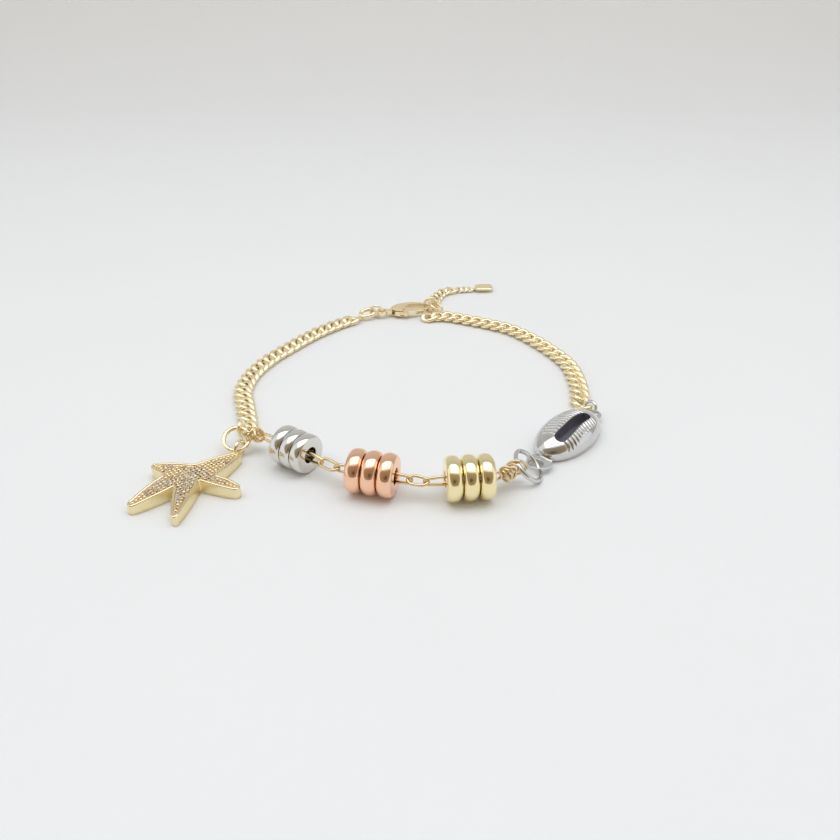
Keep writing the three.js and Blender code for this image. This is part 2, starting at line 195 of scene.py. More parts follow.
@dataclass(frozen=True)
class StoneFinish:
    """A cut and polished stone over a bright backing, with faint cloudy patches `patch` mm apart."""

    name: str
    colour: str
    tint: str
    metallic: float = 0.55
    roughness: float = 0.05
    ior: float = 2.16
    patch: float = 0.4

    def material(self) -> bpy.types.Material:
        """Makes the stone's node material, with a cloudy tint and slightly uneven polish.

        Returns:
            The material.
        """
        material, tree = empty_material(self.name)
        place = add_node(tree, "ShaderNodeTexCoord").outputs["Object"]
        clouds = add_node(
            tree, "ShaderNodeTexNoise", {"Vector": place, "Scale": 1 / (self.patch * MM), "Detail": 2.0},
        )
        colour = add_node(
            tree, "ShaderNodeMix",
            {0: clouds.outputs["Fac"], 6: linear(self.colour), 7: linear(self.tint)}, data_type="RGBA",
        )
        polish = add_node(
            tree, "ShaderNodeMapRange",
            {"Value": clouds.outputs["Fac"], "To Min": self.roughness * 0.5, "To Max": self.roughness * 2},
        )
        shader = add_node(
            tree, "ShaderNodeBsdfPrincipled",
            {"Base Color": colour.outputs[2], "Metallic": self.metallic, "Roughness": polish.outputs[0],
             "IOR": self.ior},
        )
        add_node(tree, "ShaderNodeOutputMaterial", {"Surface": shader.outputs[0]})
        return material


class Finish(Enum):
    """The finishes of the bracelet."""

    # Gold-plated brass, tumbled and mopped: pale yellow with soft highlights along each link.
    CHAIN_GOLD = MetalFinish("mopped_gold_plated_brass", "fff2ce", "fae8be", 0.27, 0.07)
    # The same plate on the fine end of the extender, worn paler and duller.
    PALE_CHAIN_GOLD = MetalFinish("tumbled_pale_gold_plate", "fff6dc", "fbecc8", 0.32, 0.08)
    # Warmer plate on the drawn wire, burnished by the die.
    WIRE_GOLD = MetalFinish("drawn_gold_plated_wire", "f0dcb6", "dfc596", 0.16, 0.05)
    # The wire that carries the silver beads: a faint rose plate that looks almost yellow.
    ROSE_WIRE = MetalFinish("drawn_rose_gold_wire", "f8e4ba", "ecd09e", 0.16, 0.05)
    # Turned rondelles under a mirror polish, which shows the tent's walls and its dim front as clear bands.
    ROSE_MIRROR = MetalFinish("mirror_polished_rose_gold", "ffd4b6", "fbc8a6", 0.08, 0.03)
    PALE_GOLD_MIRROR = MetalFinish("mirror_polished_pale_gold", "fdf0c2", "f8e7b4", 0.08, 0.03)
    RHODIUM_MIRROR = MetalFinish("mirror_polished_rhodium", "e6e4df", "dcd9d3", 0.06, 0.03)
    # Cast and barrel-polished clasp: a pale yellow with broad soft highlights.
    CLASP_GOLD = MetalFinish("barrel_polished_gold_plate", "fff0cc", "fae2b6", 0.26, 0.07)
    # Cast walls, satin from the mould: an even pale yellow without sharp reflections.
    CAST_SATIN_GOLD = MetalFinish("satin_cast_gold_plate", "faedc4", "f2e0b2", 0.34, 0.08, 1.2, 0.09, 0.12)
    # The same casting where it is mopped: rims, grains and loop catch small bright highlights.
    CAST_POLISHED_GOLD = MetalFinish("polished_cast_gold_plate", "f9edcc", "f1deb6", 0.12, 0.05)
    # Rhodium-plated casting and rings: a cool mirror with a slightly uneven polish.
    CAST_RHODIUM = MetalFinish("polished_cast_rhodium", "dcdbd9", "d0cfcd", 0.07, 0.03, 2.2, 0.15, 0.03)
    # Inside of the shell's mouth: a darker bluish grey with a dull sheen, painted shade for the deep recess.
    SHADED_MOUTH = MetalFinish("mouth_shade_grey", "a8a6ae", "8e8c94", 0.5, 0.1, 0.8, 0.15, 0.2)
    # The small stones: mostly champagne, with clear, rose and smoke ones among them, for uneven sparkle.
    CLEAR_STONE = StoneFinish("cut_clear_crystal", "e8e0d6", "d6cabc")
    CHAMPAGNE_STONE = StoneFinish("cut_champagne_crystal", "e6d3b2", "d2b994")
    ROSE_STONE = StoneFinish("cut_rose_crystal", "e4ccba", "d0b29e")
    GREY_STONE = StoneFinish("cut_smoke_crystal", "c2b6a6", "aa9e90")


class Finishes:
    """Makes each finish's material once and keeps it."""

    def __init__(self) -> None:
        """Starts with no materials."""
        self.made: dict[Finish, bpy.types.Material] = {}

    def of(self, finish: Finish) -> bpy.types.Material:
        """Gives the material of a finish, made on first use.

        Args:
            finish: the finish.

        Returns:
            Its material.
        """
        if finish not in self.made:
            self.made[finish] = finish.value.material()
        return self.made[finish]


FINISHES = Finishes()


# ---------------------------------------------------------------- shapes


def unit(vector: np.ndarray) -> np.ndarray:
    """Gives a vector, or each row of an array of vectors, the length 1."""
    vector = np.asarray(vector, float)
    return vector / np.linalg.norm(vector, axis=-1, keepdims=True)


def full_turn(steps: int) -> np.ndarray:
    """Gives evenly spaced angles once round, in radians."""
    return np.linspace(0, 2 * math.pi, steps, endpoint=False)


def ray(angle: float) -> np.ndarray:
    """Gives the flat direction at an angle in radians."""
    return np.array([math.cos(angle), math.sin(angle)])


def flat_axes(yaw: float) -> np.ndarray:
    """Gives the X, Y and Z directions, as rows, of something that lies turned by `yaw` degrees."""
    c, s = ray(math.radians(yaw))
    return np.array([[c, s, 0.0], [-s, c, 0.0], Z_UP])


def run_along(line: np.ndarray) -> np.ndarray:
    """Gives each point's distance from the first one, along the line."""
    return np.concatenate([[0], np.cumsum(np.linalg.norm(np.diff(line, axis=0), axis=1))])


def axes(normal: tuple | np.ndarray, along: tuple | np.ndarray | None = None) -> np.ndarray:
    """Makes three square directions from a normal.

    Args:
        normal: where Z points.
        along: roughly where X points; straight up, or X for a steep normal, if not given.

    Returns:
        The X, Y and Z directions as rows.
    """
    z = unit(normal)
    if along is None:
        along = (0, 0, 1) if abs(normal[2]) < 0.9 else (1, 0, 0)
    x = np.asarray(along, float)
    x = unit(x - x.dot(z) * z)
    return np.array([x, np.cross(z, x), z])


def smooth_route(points: tuple | list | np.ndarray, per_span: int = 16) -> np.ndarray:
    """Draws a smooth curve through points.

    Args:
        points: the points that the curve goes through.
        per_span: how many steps each span between two points gets.

    Returns:
        The points of the curve, as rows.
    """
    p = np.asarray(points, float)
    p = np.vstack([2 * p[0] - p[1], p, 2 * p[-1] - p[-2]])
    rows = []
    for i in range(1, len(p) - 2):
        t = np.linspace(0, 1, per_span, endpoint=False)[:, None]
        a, b, c, d = p[i - 1 : i + 3]
        rows.append(0.5 * (2 * b + (c - a) * t + (2 * a - 5 * b + 4 * c - d) * t**2
                           + (3 * b - a - 3 * c + d) * t**3))
    return np.vstack([*rows, p[-2]])


def tube_rows(path: np.ndarray, radius: float | np.ndarray, sides: int, closed: bool) -> np.ndarray:
    """Sweeps a circle along a path without twisting it.

    Args:
        path: the middle line's points, as rows.
        radius: the tube's radius, or one for each point.
        sides: how many corners the circle has.
        closed: whether the path goes back to its start.

    Returns:
        The corners, as an array of point, corner and coordinate.
    """
    path = np.asarray(path, float)
    if closed:
        tangent = unit(np.roll(path, -1, 0) - np.roll(path, 1, 0))
    else:
        tangent = unit(np.gradient(path, axis=0))
    across = np.zeros_like(path)
    across[0] = axes(tangent[0])[0]
    for i in range(1, len(path)):
        side = across[i - 1] - across[i - 1].dot(tangent[i]) * tangent[i]
        across[i] = unit(side)
    up = np.cross(tangent, across)
    twist = np.zeros(len(path))
    if closed:
        last = across[-1] - across[-1].dot(tangent[0]) * tangent[0]
        gap = math.atan2(last.dot(up[0]), last.dot(across[0]))
        twist = -gap * np.arange(len(path)) / len(path)
    angle = full_turn(sides)[None, :] + twist[:, None]
    size = np.broadcast_to(np.asarray(radius, float), (len(path),))[:, None, None]
    ring = np.cos(angle)[..., None] * across[:, None] + np.sin(angle)[..., None] * up[:, None]
    return path[:, None] + size * ring


@dataclass
class Bench:
    """Turns bench millimetres into the frame's metres."""

    origin: Vector

    @classmethod
    def from_frame(cls) -> Bench:
        """Finds the bench's origin from the middle gold rondelle, whose place on the bench is known.

        Returns:
            The bench.
        """
        low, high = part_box("gold_rondelle_2")
        middle = (low + high) / 2
        return cls(Vector((middle.x - GOLD_MIDDLE[0] * MM, middle.y - GOLD_MIDDLE[1] * MM, 0.0)))

    def metres(self, points: np.ndarray) -> np.ndarray:
        """Gives the frame's place in metres of points in bench millimetres."""
        return np.asarray(points, float) * MM + np.array(self.origin)


class Shape:
    """Faces gathered in bench millimetres until they become one piece."""

    def __init__(self) -> None:
        """Starts with no faces."""
        self.points: list[np.ndarray] = []
        self.faces: list[tuple[int, ...]] = []
        self.marks: list[int] = []
        self.count = 0

    def add(self, points: np.ndarray, faces: list[tuple[int, ...]], mark: int = 0) -> int:
        """Adds faces on points of their own.

        Args:
            points: the points, as rows.
            faces: each face's numbers into those points.
            mark: the number of the finish that the faces take.

        Returns:
            The number that the first of the points got.
        """
        start = self.count
        points = np.asarray(points, float).reshape(-1, 3)
        self.points.append(points)
        self.count += len(points)
        self.faces += [tuple(start + i for i in face) for face in faces]
        self.marks += [mark] * len(faces)
        return start

    def rows(self, rows: np.ndarray, around: bool = True, closed: bool = False, capped: bool = False,
             mark: int = 0) -> int:
        """Adds a skin of squares over rows of points.

        Args:
            rows: an array of row, point and coordinate.
            around: whether each row closes on itself.
            closed: whether the last row joins the first.
            capped: whether a flat face closes each end.
            mark: the number of the finish.

        Returns:
            The number of the first point.
        """
        n, m = rows.shape[:2]
        faces = [
            (i * m + j, i * m + (j + 1) % m, (i + 1) % n * m + (j + 1) % m, (i + 1) % n * m + j)
            for i in range(n if closed else n - 1)
            for j in range(m if around else m - 1)
        ]
        if capped:
            faces += [tuple(range(m)), tuple(range((n - 1) * m, n * m))]
        return self.add(rows, faces, mark)

    def tube(self, path: np.ndarray, radius: float | np.ndarray, sides: int = 14, closed: bool = False,
             mark: int = 0) -> None:
        """Adds a round tube along a path, with flat ends if the path is open."""
        self.rows(tube_rows(path, radius, sides, closed), closed=closed, capped=not closed, mark=mark)

    def ball(self, centre: np.ndarray, radius: float, sides: int, squash: float) -> None:
        """Adds a ball, squashed along Z by a share.

        Args:
            centre: the ball's middle.
            radius: its radius.
            sides: how many corners it has round the middle.
            squash: its height as a share of its width.
        """
        lift = np.linspace(-math.pi / 2, math.pi / 2, sides // 2 + 2)[1:-1]
        turn = full_turn(sides)
        rows = np.stack([
            np.cos(lift)[:, None] * np.cos(turn), np.cos(lift)[:, None] * np.sin(turn),
            np.sin(lift)[:, None] * squash * np.ones_like(turn),
        ], -1) * radius + np.asarray(centre, float)
        start = self.rows(rows)
        ends = self.add(np.asarray(centre, float) + [[0, 0, -radius * squash], [0, 0, radius * squash]], [])
        last = start + (len(lift) - 1) * sides
        for j in range(sides):
            k = (j + 1) % sides
            self.faces += [(ends, start + k, start + j), (ends + 1, last + j, last + k)]
            self.marks += [0, 0]

    def piece(self, name: str, bench: Bench, finishes: list[Finish],
              sharp: float = 40.0) -> bpy.types.Object:
        """Makes the Blender piece.

        Args:
            name: the piece's name.
            bench: turns bench millimetres into metres.
            finishes: the finish of each mark.
            sharp: edges that turn by more than this many degrees stay crisp.

        Returns:
            The new object, with its faces turned outwards.
        """
        mesh = bpy.data.meshes.new(name)
        mesh.from_pydata(bench.metres(np.vstack(self.points)).tolist(), [], self.faces)
        mesh.polygons.foreach_set("material_index", self.marks)
        work = bmesh.new()
        work.from_mesh(mesh)
        bmesh.ops.remove_doubles(work, verts=work.verts, dist=SAME_POINT)
        bmesh.ops.dissolve_degenerate(work, edges=work.edges, dist=NO_LENGTH)
        loose = [v for v in work.verts if not v.link_faces]
        bmesh.ops.delete(work, geom=loose, context="VERTS")
        bmesh.ops.recalc_face_normals(work, faces=work.faces)
        work.to_mesh(mesh)
        work.free()
        return finished_piece(name, mesh, finishes, sharp)


def put_in_scene(name: str, data: bpy.types.ID) -> bpy.types.Object:
    """Makes an object of a mesh, lamp or camera and puts it into the scene.

    Args:
        name: its name.
        data: its mesh, lamp or camera.

    Returns:
        The new object.
    """
    made = bpy.data.objects.new(name, data)
    bpy.context.scene.collection.objects.link(made)
    return made


def finished_piece(name: str, mesh: bpy.types.Mesh, finishes: list[Finish],
                   sharp: float) -> bpy.types.Object:
    """Puts a mesh into the scene with its materials and smooth shading.

    Args:
        name: the piece's name.
        mesh: its mesh, in metres.
        finishes: its finishes, in the order of its material slots.
        sharp: edges that turn by more than this many degrees stay crisp.

    Returns:
        The new object.
    """
    for finish in finishes:
        mesh.materials.append(FINISHES.of(finish))
    mesh.polygons.foreach_set("use_smooth", [True] * len(mesh.polygons))
    mesh.set_sharp_from_angle(angle=math.radians(sharp))
    return put_in_scene(name, mesh)


def mount(piece: bpy.types.Object, slot: str, *nodes: str, body: str = BODY) -> bpy.types.Object:
    """Lets a piece ride on a body and stand for its CAD nodes.

    Args:
        piece: the piece.
        slot: not used.
        nodes: the CAD nodes that it stands for.
        body: the CAD body that it moves with.

    Returns:
        The same piece.
    """
    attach(piece, body)
    if nodes:
        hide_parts(*nodes)
    LOG.info("%s: %d faces", piece.name, len(piece.data.polygons))
    return piece


# ---------------------------------------------------------------- chains


@dataclass
class CurbChain:
    """A curb chain: each link's two ends are twisted apart, so that the links lie flat in each other.

    `reach` is half the length of a link's middle line, `press` is how flat the links are pressed and
    `fullness` how square their ends are. A twist below 0 leans the links the other way. The links lie
    `lift` mm above the table, and each one follows the route `sight` mm to both sides of its middle.
    """

    name: str
    node: str
    route: tuple[tuple[float, float], ...]
    pitch: float = 1.95
    width: float = 3.2
    wire: float = 0.92
    reach: float = 1.42
    twist: float = -44.0
    press: float = 0.72
    finish: Finish = Finish.CHAIN_GOLD
    fullness: float = 0.85
    lift: float = 0.02
    sight: float = 0.4
    steps: int = 44
    sides: int = 12

    def link(self) -> np.ndarray:
        """Makes one link's tube, X along the chain, Y across and Z up, before it is laid on the route.

        Returns:
            The corners, as an array of point, corner and coordinate.
        """
        turn = full_turn(self.steps)
        half = (self.width - self.wire) / 2
        x = self.reach * np.cos(turn)
        y = half * np.sign(np.sin(turn)) * np.abs(np.sin(turn)) ** self.fullness
        lean = math.radians(self.twist) * x / self.reach
        path = np.stack([x, y * np.cos(lean), y * np.sin(lean)], -1)
        rows = tube_rows(path, self.wire / 2, self.sides, True)
        rows[..., 2] *= self.press
        return rows

    def build(self, bench: Bench) -> bpy.types.Object:
        """Lays the links along the route and makes them one piece.

        Args:
            bench: turns bench millimetres into metres.

        Returns:
            The chain.
        """
        line = smooth_route([(x, y, 0.0) for x, y in self.route])
        run = run_along(line)
        count = round(run[-1] / self.pitch)
        link = self.link()
        height = self.lift - link[..., 2].min()
        shape = Shape()
        for i in range(count):
            middle = (i + 0.5) * run[-1] / count
            behind, at, ahead = (
                np.array([np.interp(middle + step, run, line[:, k]) for k in range(3)])
                for step in (-self.sight, 0, self.sight)
            )
            x = unit(ahead - behind)
            shape.rows(at + [0, 0, height] + link @ np.array([x, np.cross(Z_UP, x), Z_UP]), closed=True)
        return mount(shape.piece(self.name, bench, [self.finish]), "gold_plated_chain", self.node)


# ---------------------------------------------------------------- wire


def ring_path(centre: tuple, normal: tuple, radius: float, steps: int = EYE_STEPS, gap: float = 0.0,
              seam: float = 0.0) -> np.ndarray:
    """Gives a circle's points.

    Args:
        centre: the circle's centre.
        normal: the direction square to it.
        radius: its radius.
        steps: how many points it gets.
        gap: the angle in degrees that is left open, or 0 for a closed circle.
        seam: the angle in degrees at which the opening is.

    Returns:
        The points, as rows.
    """
    x, y, _ = axes(normal)
    half = math.radians(gap) / 2
    turn = math.radians(seam) + np.linspace(half, 2 * math.pi - half, steps, endpoint=gap > 0)
    return np.asarray(centre) + radius * (np.cos(turn)[:, None] * x + np.sin(turn)[:, None] * y)


def link_path(start: np.ndarray, end: np.ndarray, width: float, wire: float, normal: np.ndarray,
              steps: int = 20, side_steps: int = 12) -> np.ndarray:
    """Gives the middle line of an oblong link with round ends.

    Args:
        start: the outside of the link's first end.
        end: the outside of its other end.
        width: its outside width.
        wire: its wire's diameter.
        normal: the direction square to its plane.
        steps: how many points each round end gets.
        side_steps: how many points each straight side gets.

    Returns:
        The points, as rows.
    """
    along = unit(np.asarray(end, float) - start)
    side = unit(np.cross(normal, along))
    radius = (width - wire) / 2
    run = np.linalg.norm(np.asarray(end, float) - start) / 2 - width / 2
    middle = (np.asarray(end, float) + start) / 2
    turn = np.linspace(-math.pi / 2, math.pi / 2, steps)
    front = run * along + radius * (np.cos(turn)[:, None] * along + np.sin(turn)[:, None] * side)
    bar = np.linspace(0, 1, side_steps + 2)[1:-1, None]
    back = -front
    loop = [front, front[-1] + bar * (back[0] - front[-1]), back, back[-1] + bar * (front[0] - back[-1])]
    return middle + np.vstack(loop)


def hand_bent(path: np.ndarray, normal: np.ndarray, taper: float, wander: float, seed: int) -> np.ndarray:
    """Gives a link's middle line the look of a hand-bent one: ends that narrow and sides that wander.

    Args:
        path: the link's middle line, as rows.
        normal: the direction square to its plane.
        taper: how much narrower the very ends are, as a share.
        wander: how far the wire wanders, in mm.
        seed: picks the way that it wanders.

    Returns:
        The new middle line, as rows.
    """
    middle = path.mean(0)
    offset = path - middle
    along = unit(np.linalg.svd(offset, full_matrices=False)[2][0])
    side = unit(np.cross(normal, along))
    run, out = offset @ along, offset @ side
    out = out * (1 - taper * np.abs(run / np.abs(run).max()) ** 4)
    turn = full_turn(len(path))
    lift = offset @ normal + wander * np.sin(2 * turn + seed)
    out = out + wander * np.sin(3 * turn + 2 * seed)
    return middle + run[:, None] * along + out[:, None] * side + lift[:, None] * normal


@dataclass
class JumpRing:
    """A ring cut from a coil of wire, closed on a fine seam."""

    name: str
    node: str
    centre: tuple[float, float, float]
    normal: tuple[float, float, float]
    radius: float
    wire: float = 0.5
    finish: Finish = Finish.CHAIN_GOLD
    slot: str = "gold_plated_chain"
    gap: float = 1.6
    seam: float = 150.0

    def build(self, bench: Bench) -> bpy.types.Object:
        """Makes the ring with its seam.

        Args:
            bench: turns bench millimetres into metres.

        Returns:
            The ring.
        """
        path = ring_path(self.centre, self.normal, self.radius, RING_STEPS, self.gap, self.seam)
        shape = Shape()
        shape.tube(path, self.wire / 2, RING_SIDES)
        return mount(shape.piece(self.name, bench, [self.finish]), self.slot, self.node)


@dataclass
class EndLink:
    """An oblong link at the end of a chain, soldered shut."""

    name: str
    node: str
    centre: tuple[float, float, float]
    along: tuple[float, float, float]
    normal: tuple[float, float, float]
    length: float
    width: float
    wire: float = 0.6

    def build(self, bench: Bench) -> bpy.types.Object:
        """Makes the link.

        Args:
            bench: turns bench millimetres into metres.

        Returns:
            The link.
        """
        x, _, z = axes(self.normal, self.along)
        start = np.asarray(self.centre) - x * self.length / 2
        end = np.asarray(self.centre) + x * self.length / 2
        shape = Shape()
        shape.tube(link_path(start, end, self.width, self.wire, z), self.wire / 2, RING_SIDES, closed=True)
        return mount(shape.piece(self.name, bench, [Finish.CHAIN_GOLD]), "gold_plated_chain", self.node)


@dataclass
class BeadWire:
    """The wires that carry the rondelles and the short links between them.

    A long link runs through each bead group. The outer ends of the silver and the gold one end in a neck,
    which is wrapped with thin wire as far as an eye. `silver_wrap` and `gold_wrap` are the wraps' number of
    turns, the turns' pitch in mm and the seed of their unevenness. `short_lean` is how far the short links'
    planes lean, in degrees. `coil_waves` and `coil_slip` make the wraps uneven: how far their radius, as a
    share, and their place, in mm, swing to each side, and how many times faster than the turns.
    """

    silver_neck: tuple = (-23.3, -16.5, 2.85)
    silver_rose: tuple = ((-13.9, -23.2, 2.9), (-11.55, -24.75, 2.97))
    rose_gold: tuple = ((-1.4, -27.6, 3.04), (0.85, -28.05, 3.06))
    gold_neck: tuple = (11.4, -26.6, 3.03)
    silver_eye: tuple = ((-25.3, -15.93, 2.59), (0.23, 0.83, 0.51), 0.95)
    gold_eye: tuple = ((13.46, -24.08, 2.53), (-0.07, 0.98, 0.19), 1.35)
    width: float = 1.8
    wire: float = 0.45
    overhang: float = 0.5
    neck_radius: float = 0.84
    coil_wire: float = 0.36
    silver_wrap: tuple = (4, 0.45, 1)
    gold_wrap: tuple = (5, 0.5, 4)
    coil_waves: tuple = ((0.2, 1.37), (0.08, 2.9))
    coil_slip: tuple = (0.34, 1.13)
    coil_steps: int = 32
    core_wire: float = 0.432
    core_start: float = -0.2
    short_lean: float = 70.0
    taper: float = 0.3
    wander: float = 0.05

    def beyond(self, point: tuple, other: tuple) -> np.ndarray:
        """Gives the place past a point, away from another, where a link's end reaches."""
        return np.asarray(point) - unit(np.asarray(other, float) - point) * self.overhang

    def link(self, shape: Shape, start: np.ndarray, end: np.ndarray, lean: float) -> None:
        """Adds an oblong link.

        Args:
            shape: gets the link.
            start: the outside of the link's first end.
            end: the outside of its other end.
            lean: how far its plane's normal leans up, in degrees.
        """
        along = unit(np.asarray(end, float) - start)
        side = unit(np.array([along[1], -along[0], 0.0]))
        up = np.cross(side, along)
        up = up if up[2] > 0 else -up
        angle = math.radians(lean)
        normal = side * math.cos(angle) + up * math.sin(angle)
        path = link_path(start, end, self.width, self.wire, normal)
        path = hand_bent(path, normal, self.taper, self.wander, len(path))
        shape.tube(path, self.wire / 2, WIRE_SIDES, closed=True)

    def coil(self, shape: Shape, start: tuple, eye: tuple, wrap: tuple[int, float, int]) -> None:
        """Adds the wire wrapped round a neck, loose and uneven as hand-wound wire is, and the neck.

        Args:
            shape: gets the wires.
            start: where the neck starts.
            eye: the middle of the eye that the neck points at.
            wrap: the number of turns, their pitch in mm and a seed for their unevenness.
        """
        turns, pitch, seed = wrap
        axis = unit(np.asarray(eye, float) - start)
        x, y, _ = axes(axis)
        turn = np.linspace(0, turns * 2 * math.pi, turns * self.coil_steps)
        wobble = 1.0
        for times, (size, rate) in enumerate(self.coil_waves, 1):
            wobble = wobble + size * np.sin(turn * rate + times * seed)
        slip, rate = self.coil_slip
        along = turn / (2 * math.pi) * pitch + slip * np.sin(turn * rate + seed)
        out = np.cos(turn)[:, None] * x + np.sin(turn)[:, None] * y
        shape.tube(np.asarray(start) + along[:, None] * axis + self.neck_radius * wobble[:, None] * out,
                   self.coil_wire / 2, WIRE_SIDES)
        core = np.linspace(self.core_start, turns * pitch, 10)[:, None] * axis + np.asarray(start)
        shape.tube(core, self.core_wire / 2, WIRE_SIDES)

    def build(self, bench: Bench) -> list[bpy.types.Object]:
        """Makes the five wires.

        Args:
            bench: turns bench millimetres into metres.

        Returns:
            The two wires with necks and the three without.
        """
        (sr_a, sr_b), (rg_a, rg_b) = self.silver_rose, self.rose_gold
        long, short = 0.0, self.short_lean
        wires = []
        for name, node, start, end, lean, neck, finish, slot in (
            ("silver_bead_loops", "silver_bead_wire",
             np.asarray(self.silver_neck), self.beyond(sr_a, self.silver_neck), long,
             (self.silver_neck, self.silver_eye, self.silver_wrap), Finish.ROSE_WIRE, "rose_gold_wire"),
            ("silver_to_rose_link", "silver_rose_link",
             self.beyond(sr_a, sr_b), self.beyond(sr_b, sr_a), short,
             None, Finish.WIRE_GOLD, "warm_gold_clasp"),
            ("rose_to_gold_link", "rose_gold_link",
             self.beyond(rg_a, rg_b), self.beyond(rg_b, rg_a), short,
             None, Finish.WIRE_GOLD, "warm_gold_clasp"),
            ("rose_bead_loops", "rose_bead_wire",
             self.beyond(sr_b, rg_a), self.beyond(rg_a, sr_b), long,
             None, Finish.WIRE_GOLD, "warm_gold_clasp"),
            ("gold_bead_loops", "gold_bead_wire",
             np.asarray(self.gold_neck), self.beyond(rg_b, self.gold_neck), long,
             (self.gold_neck, self.gold_eye, self.gold_wrap), Finish.WIRE_GOLD, "gold_plated_chain"),
        ):
            shape = Shape()
            self.link(shape, start, end, lean)
            if neck:
                start, eye, wrap = neck
                self.coil(shape, start, eye[0], wrap)
                shape.tube(ring_path(*eye), self.wire / 2, WIRE_SIDES, closed=True)
            wires.append(mount(shape.piece(name, bench, [finish]), slot, node))
        return wires


# ---------------------------------------------------------------- beads


@dataclass
class RondelleGroup:
    """Three turned rondelles side by side.

    Each one bulges from `flat_radius` on its sides to its full diameter. `crown` and `shoulder` are the
    powers that shape the bulge, and `edge` rounds the hole.
    """

    colour: str
    middle: tuple[float, float]
    yaw: float
    pitch: float
    thickness: float
    diameter: float
    finish: Finish
    slot: str
    flat_radius: float = 2.6
    crown: float = 2.2
    shoulder: float = 0.6
    hole_radius: float = 1.2
    edge: float = 0.1
    bow_steps: int = 41
    edge_steps: int = 5
    sides: int = 96

    def profile(self) -> np.ndarray:
        """Gives one rondelle's closed section as distance along the hole and from its middle.

        Returns:
            The section, a row for each point.
        """
        half = self.thickness / 2
        rim = self.diameter / 2 - self.flat_radius
        across = np.sin(np.linspace(-math.pi / 2, math.pi / 2, self.bow_steps))
        rise = np.clip(1 - np.abs(across) ** self.crown, 0, 1) ** self.shoulder
        bow = np.stack([half * across, self.flat_radius + rim * rise], -1)
        inner = self.hole_radius + self.edge
        turn = np.linspace(math.pi / 2, 0, self.edge_steps)[1:]
        mouth = np.stack([half - self.edge * (1 - np.sin(turn)), inner - self.edge * np.cos(turn)], -1)
        return np.vstack([bow, [[half, inner]], mouth, mouth[::-1] * [-1, 1], [[-half, inner]]])

    def build(self, bench: Bench) -> list[bpy.types.Object]:
        """Makes the three rondelles.

        Args:
            bench: turns bench millimetres into metres.

        Returns:
            The three rondelles.
        """
        x, y, _ = flat_axes(self.yaw)
        turn = full_turn(self.sides)
        along, out = self.profile().T
        round_about = np.cos(turn)[:, None, None] * y + np.sin(turn)[:, None, None] * Z_UP
        beads = []
        for place in (-1, 0, 1):
            centre = np.array([*self.middle, self.diameter / 2]) + place * self.pitch * x
            shape = Shape()
            shape.rows(centre + along[:, None] * x + out[:, None] * round_about, closed=True)
            bead = shape.piece(f"{self.colour}_bead_{place + 2}", bench, [self.finish], sharp=35)
            beads.append(mount(bead, self.slot, f"{self.colour}_rondelle_{place + 2}"))
        return beads


# ---------------------------------------------------------------- starfish


